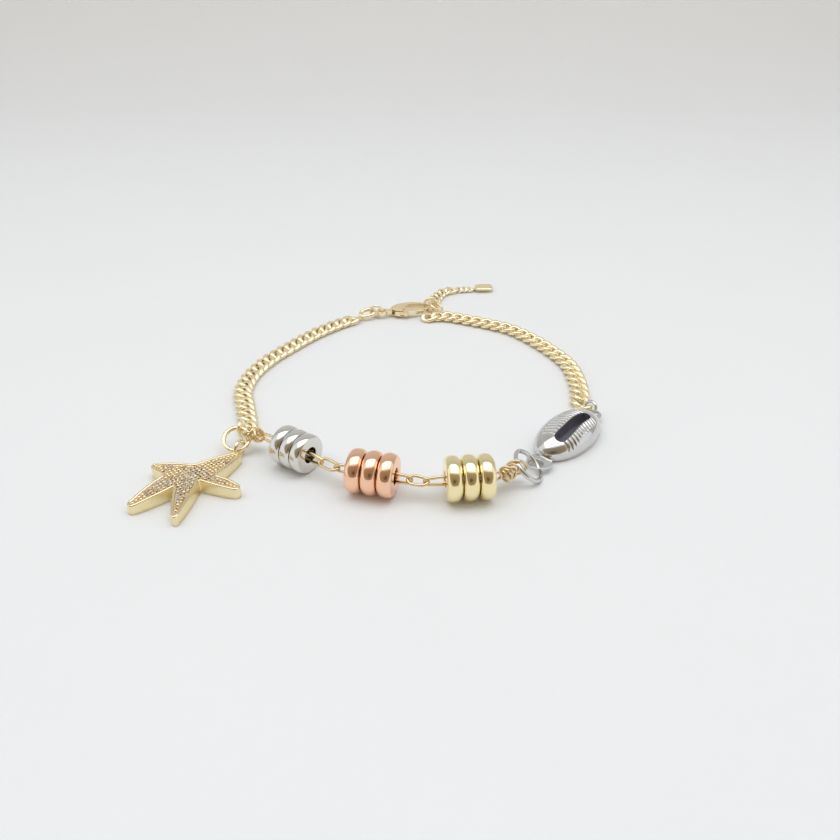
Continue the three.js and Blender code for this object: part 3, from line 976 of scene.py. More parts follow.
@dataclass(frozen=True)
class StoneSetting:
    """How the starfish's stones and the grains that hold them are set.

    The stones have a radius of `stone` and stand `spacing` apart, in rows along each arm. Their places are
    looked for as far as `widest` to both sides of the arm. `row_room` and `stone_room` are the room that a
    stone needs beside it, and `prong_room` the room that a grain needs, as shares of a stone's radius.
    `stone_gap` and `prong_reach` are shares of the spacing. `cut` gives a stone's table, crown and depth as
    shares of its radius.

    `bead_share` says, arm by arm, from which share of the reach large grains take the place of stones:
    always past `always_beads`, and otherwise with `bead_chance`. `big_bead` and `prong` are a grain's
    radius, corners, squash and lift. `kind_limits` shares the stones out among their finishes, and those
    near `smoke_spot` are smoke.
    """

    stone: float = 0.26
    spacing: float = 0.56
    first_row: float = 0.25
    widest: float = 3.0
    search_step: float = 0.05
    row_room: float = 0.95
    stone_room: float = 0.9
    stone_gap: float = 0.93
    cut: tuple = (0.55, 0.36, 0.6)
    stone_lift: float = 0.15
    tilt: float = 0.24
    sizes: tuple = (0.84, 1.02)
    kinds: tuple = (Finish.CLEAR_STONE, Finish.CHAMPAGNE_STONE, Finish.ROSE_STONE, Finish.GREY_STONE)
    kind_limits: tuple = (0.28, 0.84, 0.94)
    smoke_spot: tuple = (-4.9, -4.2)
    smoke_radius: float = 1.1
    bead_share: tuple = (0.3, 0.2, 0.7, 0.7, 0.7)
    always_beads: float = 0.8
    bead_chance: float = 0.75
    big_bead: tuple = (0.25, 12, 0.8, 0.08)
    prong: tuple = (0.1, 8, 1.3, 0.13)
    prong_reach: float = 1.55
    prong_room: float = 1.08
    prong_gap: float = 0.2
    prong_overhang: float = 0.03
    missing_prongs: float = 0.3
    seed: int = 11

    def spots(self, arms: tuple, floor: np.ndarray) -> np.ndarray:
        """Finds where the stones sit: rows along each arm, as many across as the arm is wide.

        Args:
            arms: the starfish's arms.
            floor: the stone floor's outline.

        Returns:
            The stones' middles, as rows.
        """
        found: list[np.ndarray] = []
        for angle, reach, *_ in sorted(arms, key=lambda arm: -arm[1]):
            ahead = ray(math.radians(angle))
            side = np.array([-ahead[1], ahead[0]])
            for s in np.arange(self.first_row, reach, self.spacing):
                room = [
                    t for t in np.arange(-self.widest, self.widest + 0.01, self.search_step)
                    if self.clear(floor, s * ahead + t * side) > self.stone * self.row_room
                ]
                if not room:
                    continue
                count = int((room[-1] - room[0]) / self.spacing) + 1
                for k in range(count):
                    t = (room[0] + room[-1]) / 2 + (k - (count - 1) / 2) * self.spacing
                    p = s * ahead + t * side
                    fresh = all(np.linalg.norm(p - q) > self.spacing * self.stone_gap for q in found)
                    if fresh and self.clear(floor, p) > self.stone * self.stone_room:
                        found.append(p)
        return np.array(found)

    def prongs(self, spots: np.ndarray, floor: np.ndarray) -> list[np.ndarray]:
        """Finds the gaps between neighbouring stones where the holding grains stand.

        Args:
            spots: the stones' middles.
            floor: the stone floor's outline.

        Returns:
            The grains' middles.
        """
        found: list[np.ndarray] = []
        for i, p in enumerate(spots):
            for q in spots[i + 1:]:
                gap = np.linalg.norm(p - q)
                if gap > self.spacing * self.prong_reach:
                    continue
                away = np.array([-(q - p)[1], (q - p)[0]]) / gap
                for side in (-0.5, 0.5):
                    spot = (p + q) / 2 + side * self.spacing * away
                    free = np.linalg.norm(spots - spot, axis=1).min() > self.stone * self.prong_room
                    fresh = all(np.linalg.norm(spot - f) > self.prong_gap for f in found)
                    if free and fresh and self.clear(floor, spot) > -self.prong_overhang:
                        found.append(spot)
        return found

    @staticmethod
    def clear(floor: np.ndarray, point: np.ndarray) -> float:
        """Gives a point's distance from the floor's edge, below 0 outside it.

        Args:
            floor: the stone floor's outline.
            point: the point.

        Returns:
            The distance in mm.
        """
        distance = np.linalg.norm(floor - point, axis=1).min()
        a, b = floor - point, np.roll(floor, -1, 0) - point
        winding = np.arctan2(a[:, 0] * b[:, 1] - a[:, 1] * b[:, 0], (a * b).sum(1)).sum()
        return distance if abs(winding) > math.pi else -distance

    def gem(self, shape: Shape, point: np.ndarray, tilt: np.ndarray, size: float, mark: int) -> None:
        """Adds one cut stone with a table, a crown and a pavilion.

        Args:
            shape: gets the stone.
            point: its girdle's middle.
            tilt: its tilt to X and to Y, and a number that turns it.
            size: its size as a share of the usual one.
            mark: the number of its finish.
        """
        spin = 9 * tilt[2]
        turn8, turn16 = np.arange(8) * math.pi / 4 + spin, np.arange(16) * math.pi / 8 + spin
        r = self.stone * size
        wide, high, deep = (share * r for share in self.cut)
        table = np.stack([wide * np.cos(turn8), wide * np.sin(turn8), np.full(8, high)], -1)
        girdle = np.stack([r * np.cos(turn16), r * np.sin(turn16), np.zeros(16)], -1)
        culet = np.array([[0, 0, -deep]])
        x, y, z = axes(unit(np.array([tilt[0], tilt[1], 1.0])))
        points = np.vstack([table, girdle, culet]) @ np.array([x, y, z]) + point
        faces = [tuple(range(8))]
        for k in range(8):
            j = (k + 1) % 8
            g = [8 + 2 * k, 8 + 2 * k + 1, 8 + (2 * k + 2) % 16]
            faces += [(k, g[0], g[1]), (k, g[1], j), (j, g[1], g[2])]
        faces += [(8 + k, 24, 8 + (k + 1) % 16) for k in range(16)]
        shape.add(points, faces, mark)


@dataclass
class Starfish:
    """A cast starfish with raised rims, set with small stones in its arms.

    Each arm has its direction in degrees, its reach, half its tip's width, and the direction and the reach
    of the notch after it. `bulge` bows the arms' sides, and `dome` is the radius that the top is domed to.
    `rim` gives the rim's section as the distance in from the wall and the height against the dome.
    """

    centre: tuple[float, float] = (-32.2, -25.6)
    top: float = 2.3
    dome: float = 55.0
    bulge: float = 0.14
    arms: tuple = (
        (47.2, 8.9, 0.75, 84.4, 2.9),
        (151.5, 6.7, 0.7, 171.9, 3.6),
        (219.3, 8.95, 0.75, 239.0, 2.6),
        (269.7, 8.3, 0.5, 332.0, 2.0),
        (345.5, 7.8, 0.75, 367.5, 3.8),
    )
    rim: tuple = ((0.0, -0.16), (0.05, -0.05), (0.14, 0.0), (0.3, -0.01), (0.38, -0.07), (0.42, -0.2))
    eased: float = 0.07
    wall_shares: tuple = (0.35, 0.7, 1.0)
    tip_steps: int = 9
    bow_shares: tuple = (0, 0.25, 0.5, 0.75)
    outline_steps: int = 560
    smoothing: int = 8
    floor_drop: float = 0.24
    loop: tuple = ((-26.47, -17.99, 1.49), (0.93, -0.37, 0.03), 1.15)
    loop_wire: float = 0.56
    root: tuple = ((-26.66, -19.7, 0.75), (-26.72, -18.95, 0.78))
    root_radii: tuple = (0.55, 0.34)
    root_steps: int = 8
    setting: StoneSetting = StoneSetting()

    def outline(self) -> np.ndarray:
        """Gives the outline's points, round the starfish, with round tips and softened notches.

        Returns:
            The points, as rows.
        """
        corners = []
        for angle, reach, half, notch_angle, notch_reach in self.arms:
            a = math.radians(angle)
            hub = ray(a) * (reach - half)
            turns = np.linspace(-math.pi / 2, math.pi / 2, self.tip_steps)
            corners += [hub + half * ray(a + turn) for turn in turns]
            corners.append(ray(math.radians(notch_angle)) * notch_reach)
        loop = self.bulged(np.array([*corners, corners[0]]), self.tip_steps + 1)
        run = run_along(loop)
        steps = np.linspace(0, run[-1], self.outline_steps, endpoint=False)
        loop = np.stack([np.interp(steps, run, loop[:, k]) for k in range(2)], -1)
        for _ in range(self.smoothing):
            loop = loop / 2 + (np.roll(loop, 1, 0) + np.roll(loop, -1, 0)) / 4
        return loop

    def bulged(self, loop: np.ndarray, per_arm: int) -> np.ndarray:
        """Bows the arms' long sides outwards.

        Args:
            loop: the outline's corners, with the first one again at the end.
            per_arm: how many of them each arm has. Its last two edges, beside the notch, are bowed.

        Returns:
            The new corners, with the first one again at the end.
        """
        points = []
        for i, (start, end) in enumerate(zip(loop, loop[1:])):
            ahead = end - start
            out = unit(np.array([ahead[1], -ahead[0]]))
            for share in self.bow_shares if i % per_arm >= per_arm - 2 else (0,):
                points.append(start + share * ahead + 4 * self.bulge * share * (1 - share) * out)
        return np.array([*points, loop[0]])

    def height(self, points: np.ndarray) -> np.ndarray:
        """Gives the domed top's height over points of the starfish's own plane."""
        return self.top - self.dome + np.sqrt(self.dome**2 - (points**2).sum(-1))

    def inset(self, loop: np.ndarray, distance: float) -> np.ndarray:
        """Moves the outline inwards by a distance."""
        step = unit(np.roll(loop, -1, 0) - np.roll(loop, 1, 0))
        return loop - distance * np.stack([step[:, 1], -step[:, 0]], -1)

    def placed(self, points: np.ndarray, height: np.ndarray | float) -> np.ndarray:
        """Puts points of the starfish's plane at their place on the bench."""
        flat = points + np.asarray(self.centre)
        return np.column_stack([flat, np.broadcast_to(height, len(flat))])

    def casting(self, shape: Shape) -> tuple[np.ndarray, np.ndarray]:
        """Adds the walls, rims, stone floor and underside.

        Args:
            shape: gets the faces: mark 0 is satin, mark 1 polished.

        Returns:
            The outline of the stone floor, and the places of the stones in it.
        """
        loop = self.outline()
        n = len(loop)
        walls = [self.placed(self.inset(loop, self.eased), 0.0), self.placed(loop, self.eased)]
        for share in self.wall_shares:
            walls.append(self.placed(loop, (self.height(loop) + self.rim[0][1]) * share))
        shape.rows(np.array(walls))
        rims = []
        for distance, drop in self.rim:
            inner = self.inset(loop, distance)
            rims.append(self.placed(inner, self.height(inner) + drop))
        shape.rows(np.array(rims), mark=1)
        floor = self.inset(loop, self.rim[-1][0])
        spots = self.setting.spots(self.arms, floor)
        points, faces = self.filled(floor, spots)
        drop = np.where(np.arange(len(points)) < n, self.rim[-1][1], -self.floor_drop)
        shape.add(self.placed(points, self.height(points) + drop), faces, 1)
        points, faces = self.filled(self.inset(loop, self.eased), np.empty((0, 2)))
        shape.add(self.placed(points, 0.0), faces)
        return floor, spots

    @staticmethod
    def filled(loop: np.ndarray, inside: np.ndarray) -> tuple[np.ndarray, list]:
        """Fills an outline with triangles that use some points inside it.

        Args:
            loop: the outline's points.
            inside: the points inside it.

        Returns:
            All the points, with the outline's first, and the triangles' numbers into them.
        """
        edges = [(i, (i + 1) % len(loop)) for i in range(len(loop))]
        flat = [Vector(p) for p in np.vstack([loop, inside])]
        keep_inside, tolerance = 1, 1e-5
        points, _, faces, _, _, _ = delaunay_2d_cdt(flat, edges, [], keep_inside, tolerance)
        return np.array([tuple(p) for p in points]), faces

    def above_floor(self, point: np.ndarray, lift: float) -> np.ndarray:
        """Gives the place that is `lift` above the stone floor at a point of the starfish's plane."""
        return self.placed(point[None], self.height(point[None]) - self.floor_drop + lift)[0]

    def grain(self, shape: Shape, point: np.ndarray, size: tuple[float, int, float, float]) -> None:
        """Adds one round grain.

        Args:
            shape: gets the grain.
            point: its place in the starfish's plane.
            size: its radius, its corners round the middle, its height as a share of its width, its lift.
        """
        radius, sides, squash, lift = size
        shape.ball(self.above_floor(point, lift), radius, sides, squash)

    def fill(self, stones: Shape, grains: Shape, floor: np.ndarray, spots: np.ndarray) -> None:
        """Sets the stones and the grains.

        Args:
            stones: gets the stones.
            grains: gets the grains.
            floor: the stone floor's outline.
            spots: the stones' places in it.
        """
        setting = self.setting
        random = np.random.RandomState(setting.seed)
        for spot in spots:
            angle = math.degrees(math.atan2(spot[1], spot[0])) % 360
            arm = min(self.arms, key=lambda a: abs((a[0] - angle + 180) % 360 - 180))
            share = np.linalg.norm(spot) / arm[1]
            tilt = random.uniform(-1, 1, 3) * [setting.tilt, setting.tilt, 1.0]
            choice = random.uniform()
            if share > setting.bead_share[self.arms.index(arm)] and (
                    share > setting.always_beads or choice < setting.bead_chance):
                self.grain(grains, spot, setting.big_bead)
                continue
            kind = int(np.searchsorted(setting.kind_limits, choice, side="right"))
            if math.dist(spot, setting.smoke_spot) < setting.smoke_radius:
                kind = len(setting.kind_limits)
            place = self.above_floor(spot, setting.stone_lift)
            setting.gem(stones, place, tilt, random.uniform(*setting.sizes), kind)
        for spot in setting.prongs(spots, floor):
            if random.uniform() >= setting.missing_prongs:
                self.grain(grains, spot, setting.prong)

    def build(self, bench: Bench) -> list[bpy.types.Object]:
        """Makes the casting with its loop, the stones and the grains that hold them.

        Args:
            bench: turns bench millimetres into metres.

        Returns:
            The casting, the stones and the grains.
        """
        casting, stones, grains = Shape(), Shape(), Shape()
        floor, spots = self.casting(casting)
        casting.tube(ring_path(*self.loop), self.loop_wire / 2, RING_SIDES, closed=True, mark=1)
        root = np.linspace(*np.array(self.root), self.root_steps)
        casting.tube(root, np.linspace(*self.root_radii, self.root_steps), RING_SIDES, mark=1)
        self.fill(stones, grains, floor, spots)
        slot = "gold_plated_chain"
        metals = [Finish.CAST_SATIN_GOLD, Finish.CAST_POLISHED_GOLD]
        return [
            mount(casting.piece("starfish_casting", bench, metals, sharp=50), slot, "starfish_charm"),
            mount(stones.piece("starfish_stones", bench, self.setting.kinds, sharp=5), slot),
            mount(grains.piece("starfish_grains", bench, metals[1:]), slot),
        ]


# ---------------------------------------------------------------- cowrie shell


@dataclass
class Cowrie:
    """A cast cowrie shell with a toothed mouth, and a flat tab at each end.

    `mouth_taper` narrows the mouth towards one end and `bluntness` squares its ends. `sway` bends it into a
    faint S, and `shift` puts it to the right of the middle. The teeth are `teeth` apart, lean by
    `tooth_lean`, and fade over `tooth_fade` at their outer ends and `end_fade` at the mouth's ends. A tab
    is its middle and radius, and its hole's.
    """

    centre: tuple[float, float, float] = (22.3, -13.85, 1.1)
    yaw: float = 49.0
    half_length: float = 7.0
    half_width: float = 3.85
    half_height: float = 2.9
    mouth_length: float = 8.6
    mouth_middle: float = -0.5
    mouth_width: float = 1.8
    mouth_taper: float = 0.05
    mouth_floor: float = 1.8
    sway: float = 0.1
    shift: float = -1.03
    bluntness: float = 8.0
    teeth: float = 0.7
    tooth_width: float = 0.11
    depth_left: float = 0.23
    depth_right: float = 0.13
    tooth_lean: float = 0.12
    tooth_fade: float = 0.3
    end_room: float = 0.1
    end_fade: float = 0.4
    lip: float = 0.15
    lip_drop: float = 0.25
    reach_left: float = 2.5
    reach_right: float = 1.25
    tab_thickness: float = 0.4
    tab_bottom: float = 0.8
    tab_edge: float = 0.08
    front_tab: tuple = ((17.2, -20.7), 1.9, (16.7, -21.2), 1.05)
    back_tab: tuple = ((27.1, -8.1), 1.35, (27.2, -7.75), 0.75)
    rows: int = 400
    columns: int = 56

    def mouth(self, along: np.ndarray) -> tuple[np.ndarray, np.ndarray]:
        """Gives the mouth's right and left edge at places along the shell; they meet beyond its ends.

        Args:
            along: the places, in mm from the middle.

        Returns:
            The right and the left edge, in mm to the left of the middle line.
        """
        share = np.clip((along - self.mouth_middle) / self.mouth_length, -0.5, 0.5)
        middle = self.shift + self.sway * np.sin(2 * math.pi * share)
        half = (self.mouth_width - self.mouth_taper * along) / 2
        half = half * np.sqrt(np.clip(1 - np.abs(2 * share) ** self.bluntness, 0, 1))
        return middle - half, middle + half

    def tooth(self, along: np.ndarray, away: np.ndarray, reach: float, depth: float) -> np.ndarray:
        """Gives how deep the grooves between the teeth are.

        Args:
            along: places along the shell.
            away: distances from the mouth's edge.
            reach: how far the grooves run out.
            depth: their greatest depth.

        Returns:
            The depth at each place, in mm.
        """
        lean = along + self.tooth_lean * away
        offset = (lean / self.teeth + 0.5) % 1 - 0.5
        groove = np.exp(-((offset * self.teeth / self.tooth_width) ** 2))
        beside = self.mouth_length / 2 - self.end_room - np.abs(along - self.mouth_middle)
        end = np.clip((reach - away) / self.tooth_fade, 0, 1) * np.clip(beside / self.end_fade, 0, 1)
        end = end * np.clip(away / self.lip, 0, 1)
        return depth * groove * end * end * (3 - 2 * end)

    def skin(self) -> tuple[np.ndarray, np.ndarray]:
        """Makes the two flanks of the shell from the mouth's edges down to the base.

        Returns:
            The right and the left flank in the shell's own axes, as arrays of row, column and coordinate.
        """
        t = np.linspace(-math.pi / 2, math.pi / 2, self.rows + 2)[1:-1]
        along = self.half_length * np.sin(t)
        around = np.cos(t)
        width, height = self.half_width * around, self.half_height * around
        base = np.arcsin(np.minimum(1, self.centre[2] / height))
        right, left = self.mouth(along)
        flanks = []
        for edge, sign, reach, deep in (
            (right, -1, self.reach_right, self.depth_right), (left, 1, self.reach_left, self.depth_left),
        ):
            top = np.arccos(np.clip(edge / width, -1, 1))
            bottom = math.pi + base if sign < 0 else -base
            v = np.linspace(0, 1, self.columns)
            angle = top[:, None] + (bottom - top)[:, None] * v
            b = width[:, None] * np.cos(angle)
            z = height[:, None] * np.sin(angle)
            a = np.broadcast_to(along[:, None], b.shape)
            away = np.where(np.sin(angle) > 0, np.abs(b - edge[:, None]), reach)
            flank = np.stack([a, b, z], -1)
            normal = unit(flank / np.array([self.half_length, self.half_width, self.half_height]) ** 2)
            flanks.append(flank - self.tooth(a, away, reach, deep)[..., None] * normal)
        return flanks[0], flanks[1]

    def placed(self, points: np.ndarray) -> np.ndarray:
        """Puts points of the shell's own axes at their place on the bench.

        Args:
            points: the points in the shell's own axes.

        Returns:
            The points on the bench.
        """
        return np.asarray(self.centre) + points @ flat_axes(self.yaw)

    def tab(self, shape: Shape, tab: tuple) -> None:
        """Adds a flat tab with a round hole and eased edges.

        Args:
            shape: gets the tab.
            tab: its middle and radius, and its hole's.
        """
        hub, outer, hole, inner = tab
        turn = full_turn(RING_STEPS)
        out = np.stack([np.cos(turn), np.sin(turn)], -1)
        low, high, e = self.tab_bottom, self.tab_bottom + self.tab_thickness, self.tab_edge
        section = (
            (hub, outer - e, high), (hub, outer - e / 3, high - e / 3), (hub, outer, high - e),
            (hub, outer, low + e), (hub, outer - e / 3, low + e / 3), (hub, outer - e, low),
            (hole, inner + e, low), (hole, inner, low + e), (hole, inner, high - e),
            (hole, inner + e / 3, high - e / 3), (hole, inner + e, high),
        )
        rows = []
        for middle, radius, z in section:
            rows.append(np.column_stack([middle + radius * out, np.full(len(out), z)]))
        shape.rows(np.array(rows), closed=True)

    def build(self, bench: Bench) -> bpy.types.Object:
        """Makes the shell, its mouth and its tabs.

        Args:
            bench: turns bench millimetres into metres.

        Returns:
            The shell.
        """
        right, left = self.skin()
        shape = Shape()
        shape.rows(self.placed(right), around=False)
        shape.rows(self.placed(left), around=False)
        shape.rows(np.stack([self.placed(right[:, -1]), self.placed(left[:, -1])], 1), around=False)
        tip = np.array([[-self.half_length, 0, 0], [self.half_length, 0, 0]])
        for end, row in ((0, 0), (1, -1)):
            ring = np.vstack([right[row], left[row][::-1]])
            n = len(ring)
            points = self.placed(np.vstack([tip[end], ring]))
            shape.add(points, [(0, k, k % n + 1) for k in range(1, n + 1)])
        inside = np.abs(right[:, 0, 0] - self.mouth_middle) < self.mouth_length / 2
        rim = np.vstack([right[inside, 0], left[inside, 0][::-1]])
        floor = self.mouth_floor - self.centre[2]
        deep = rim.copy()
        deep[:, 2] = floor
        middle = rim.copy()
        middle[:, 2] = rim[:, 2] - self.lip_drop
        # Mark 1 gives the mouth's lip, walls and floor the darker grey, painted shade for the deep recess.
        shape.rows(np.array([self.placed(rim), self.placed(middle), self.placed(deep)]), mark=1)
        n = inside.sum()
        shape.rows(np.stack([self.placed(deep[:n]), self.placed(deep[n:][::-1])], 1), around=False, mark=1)
        self.tab(shape, self.front_tab)
        self.tab(shape, self.back_tab)
        # The second finish is the mouth's darker grey, painted shade for its depth.
        piece = shape.piece("cowrie_casting", bench, [Finish.CAST_RHODIUM, Finish.SHADED_MOUTH], sharp=50)
        return mount(piece, "silver_beads", "cowrie_shell")


# ---------------------------------------------------------------- clasp


@dataclass
class LobsterClasp:
    """The clasp's cast body and its lever, with their edges rounded as a casting's are."""

    voxel: float = 0.07
    softness: float = 0.5
    passes: int = 8

    def rounded(self, name: str, node: str, finish: Finish) -> bpy.types.Object:
        """Makes a rounded copy of a CAD node.

        Args:
            name: the new piece's name.
            node: the CAD node.
            finish: the metal's finish.

        Returns:
            The new piece.
        """
        mesh = bpy.data.objects[node].data.copy()
        mesh.materials.clear()
        low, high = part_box(node)
        middle = (low + high) / 2
        for vertex in mesh.vertices:
            vertex.co = (vertex.co - middle) / MM
        work = put_in_scene(name + "_work", mesh)
        remesh = work.modifiers.new("skin", "REMESH")
        remesh.mode, remesh.voxel_size = "VOXEL", self.voxel
        soften = work.modifiers.new("soften", "SMOOTH")
        soften.factor, soften.iterations = self.softness, self.passes
        ready = bpy.data.meshes.new_from_object(work.evaluated_get(bpy.context.evaluated_depsgraph_get()))
        bpy.data.objects.remove(work)
        for vertex in ready.vertices:
            vertex.co = vertex.co * MM + middle
        return finished_piece(name, ready, [finish], ALL_SMOOTH)

    def build(self, bench: Bench) -> list[bpy.types.Object]:
        """Makes the body and the lever.

        Args:
            bench: not needed, because the frame's own clasp is used.

        Returns:
            The body and the lever.
        """
        body = self.rounded("clasp_casting", "clasp_body", Finish.CLASP_GOLD)
        lever = self.rounded("clasp_lever_casting", "clasp_lever", Finish.CLASP_GOLD)
        return [
            mount(body, "warm_gold_clasp", "clasp_body"),
            mount(lever, "gold_plated_chain", "clasp_lever", body=LEVER_BODY),
        ]


@dataclass
class EndTag:
    """The flat link that ends the extender."""

    centre: tuple[float, float, float] = (13.1, 41.1, 0.75)
    length: float = 3.8
    width: float = 2.7
    thickness: float = 0.7
    yaw: float = 2.0
    squareness: float = 0.5
    rows: int = 24
    sides: int = 64

    def build(self, bench: Bench) -> bpy.types.Object:
        """Makes the tag as a low cushion with a soft edge.

        Args:
            bench: turns bench millimetres into metres.

        Returns:
            The tag.
        """
        lift = np.linspace(-math.pi / 2, math.pi / 2, self.rows + 2)[1:-1]
        turn = full_turn(self.sides)
        soft = np.cos(lift)[:, None] ** self.squareness
        x, y = (np.sign(share) * np.abs(share) ** self.squareness for share in (np.cos(turn), np.sin(turn)))
        rows = np.stack([
            self.length / 2 * soft * x, self.width / 2 * soft * y,
            self.thickness / 2 * np.sin(lift)[:, None] * np.ones_like(turn),
        ], -1)
        shape = Shape()
        shape.rows(rows @ flat_axes(self.yaw) + self.centre, capped=True)
        tag = shape.piece("extender_tag", bench, [Finish.CHAIN_GOLD])
        return mount(tag, "gold_plated_chain", "end_tag")


# ---------------------------------------------------------------- studio


@dataclass
class Studio:
    """A white light tent: a swept floor, a soft lamp overhead and an open front.

    `front` gives the tent's colours by the squared distance from the middle of its open front. The distance
    is 1 at `front_width` to the sides and at `front_height` above and below `front_middle`, all on a sphere
    with a radius of 1. `lens` is the lens as well as the sensor's width, which gives a view 53 degrees wide,
    and `clip` is the nearest and the farthest that the camera sees, in metres.
    """

    camera_height: float = 72.1
    camera_distance: float = 119.0
    camera_drop: float = 33.0
    wall: float = 178.0
    sweep: float = 70.0
    front_width: float = 0.88
    front_middle: float = 0.38
    front_height: float = 0.5
    front: tuple = ((0.0, "655641"), (0.04, "655641"), (0.14, "8f806a"), (0.86, "a69882"), (1.0, "f4f7fa"))
    paper: str = "f3f5f7"
    paper_shade: str = "f1f3f5"
    paper_tooth: float = 30.0
    paper_roughness: float = 0.75
    paper_gloss: float = 0.15
    background: str = "e4e5e5"
    tent_strength: float = 1.03
    lamp_place: tuple = (0, -30, 330)
    lamp_aim: tuple = (0, -30, 0)
    lamp_size: tuple = (480, 240)
    lamp_power: float = 0.43
    floor_half: float = 900.0
    wall_height: float = 700.0
    lens: float = 36.0
    clip: tuple[float, float] = (0.005, 10.0)
    bend_steps: int = 24

    def camera(self, bench: Bench) -> None:
        """Sets up the camera: a wide lens that looks down on the bracelet from the front.

        Args:
            bench: turns bench millimetres into metres.
        """
        data = bpy.data.cameras.new("camera")
        data.lens = data.sensor_width = self.lens
        data.clip_start, data.clip_end = self.clip
        camera = put_in_scene("camera", data)
        camera.location = bench.metres(np.array([0, -self.camera_distance, self.camera_height]))
        camera.rotation_euler = (math.radians(90 - self.camera_drop), 0, 0)
        bpy.context.scene.camera = camera

    def floor(self, bench: Bench) -> None:
        """Makes the paper sweep: a floor that curves up into a wall.

        Args:
            bench: turns bench millimetres into metres.
        """
        turn = np.linspace(0, math.pi / 2, self.bend_steps)
        bend = np.stack([self.wall + self.sweep * np.sin(turn), self.sweep * (1 - np.cos(turn))], -1)
        line = np.vstack([[[-self.floor_half, 0]], bend, [[self.wall + self.sweep, self.wall_height]]])
        points = [(x, y, z) for y, z in line for x in (-self.floor_half, self.floor_half)]
        mesh = bpy.data.meshes.new("paper_sweep")
        mesh.from_pydata(bench.metres(np.array(points)).tolist(), [],
                         [(2 * i, 2 * i + 1, 2 * i + 3, 2 * i + 2) for i in range(len(line) - 1)])
        mesh.polygons.foreach_set("use_smooth", [True] * len(mesh.polygons))
        mesh.materials.append(self.paper_material())
        put_in_scene("paper_sweep", mesh)

    def paper_material(self) -> bpy.types.Material:
        """Makes the matt paper, with a faint tooth.

        Returns:
            The material.
        """
        material, tree = empty_material("matt_white_paper")
        place = add_node(tree, "ShaderNodeTexCoord").outputs["Object"]
        tooth = add_node(
            tree, "ShaderNodeTexNoise",
            {"Vector": place, "Scale": 1 / (self.paper_tooth * MM), "Detail": 3.0},
        )
        colour = add_node(
            tree, "ShaderNodeMix",
            {0: tooth.outputs["Fac"], 6: linear(self.paper), 7: linear(self.paper_shade)}, data_type="RGBA",
        )
        shader = add_node(
            tree, "ShaderNodeBsdfPrincipled",
            {"Base Color": colour.outputs[2], "Roughness": self.paper_roughness,
             "Specular IOR Level": self.paper_gloss},
        )
        add_node(tree, "ShaderNodeOutputMaterial", {"Surface": shader.outputs[0]})
        return material

    def lamp(self, bench: Bench) -> None:
        """Adds the oblong soft lamp of the roof.

        Args:
            bench: turns bench millimetres into metres.
        """
        data = bpy.data.lights.new("roof_lamp", "AREA")
        data.shape = "RECTANGLE"
        data.size, data.size_y = (side * MM for side in self.lamp_size)
        data.energy = self.lamp_power
        lamp = put_in_scene("roof_lamp", data)
        lamp.location = bench.metres(np.array(self.lamp_place))
        way = Vector(self.lamp_aim) - Vector(self.lamp_place)
        lamp.rotation_euler = way.to_track_quat("-Z", "Y").to_euler()

    def tent(self) -> None:
        """Lights the tent from all round: bright walls and roof, and a dim front that metal mirrors."""
        world = bpy.data.worlds.new("light_tent")
        world.use_nodes = True
        tree = world.node_tree
        tree.nodes.clear()
        way = add_node(tree, "ShaderNodeTexCoord").outputs["Generated"]
        part = add_node(tree, "ShaderNodeSeparateXYZ", {0: way})
        wide = add_node(
            tree, "ShaderNodeMath", {0: part.outputs["X"], 1: self.front_width}, operation="DIVIDE",
        )
        tall = add_node(
            tree, "ShaderNodeMapRange",
            {"Value": part.outputs["Z"], "From Min": self.front_middle,
             "From Max": self.front_middle + self.front_height},
            clamp=False,
        )
        wide = add_node(tree, "ShaderNodeMath", {0: wide.outputs[0], 1: 2.0}, operation="POWER")
        tall = add_node(tree, "ShaderNodeMath", {0: tall.outputs[0], 1: 2.0}, operation="POWER")
        spread = add_node(tree, "ShaderNodeMath", {0: wide.outputs[0], 1: tall.outputs[0]}, operation="ADD")
        behind = add_node(tree, "ShaderNodeMath", {0: part.outputs["Y"], 1: 0.0}, operation="GREATER_THAN")
        spread = add_node(
            tree, "ShaderNodeMath", {0: spread.outputs[0], 1: behind.outputs[0]}, operation="ADD",
        )
        front = add_node(tree, "ShaderNodeValToRGB", {0: spread.outputs[0]})
        stops = front.color_ramp.elements
        for place, _ in self.front[1:-1]:
            stops.new(place)
        for stop, (_, colour) in zip(stops, self.front):
            stop.color = linear(colour)
        tent = add_node(
            tree, "ShaderNodeBackground", {"Color": front.outputs[0], "Strength": self.tent_strength},
        )
        plain = add_node(tree, "ShaderNodeBackground", {"Color": linear(self.background), "Strength": 1.0})
        sight = add_node(tree, "ShaderNodeLightPath").outputs["Is Camera Ray"]
        both = add_node(tree, "ShaderNodeMixShader", {0: sight, 1: tent.outputs[0], 2: plain.outputs[0]})
        add_node(tree, "ShaderNodeOutputWorld", {"Surface": both.outputs[0]})
        bpy.context.scene.world = world

    def build(self, bench: Bench) -> None:
        """Sets up the camera, the floor and the lights.

        Args:
            bench: turns bench millimetres into metres.
        """
        self.camera(bench)
        self.floor(bench)
        self.lamp(bench)
        self.tent()
        bpy.context.scene.view_settings.view_transform = "Standard"


# ---------------------------------------------------------------- the bracelet


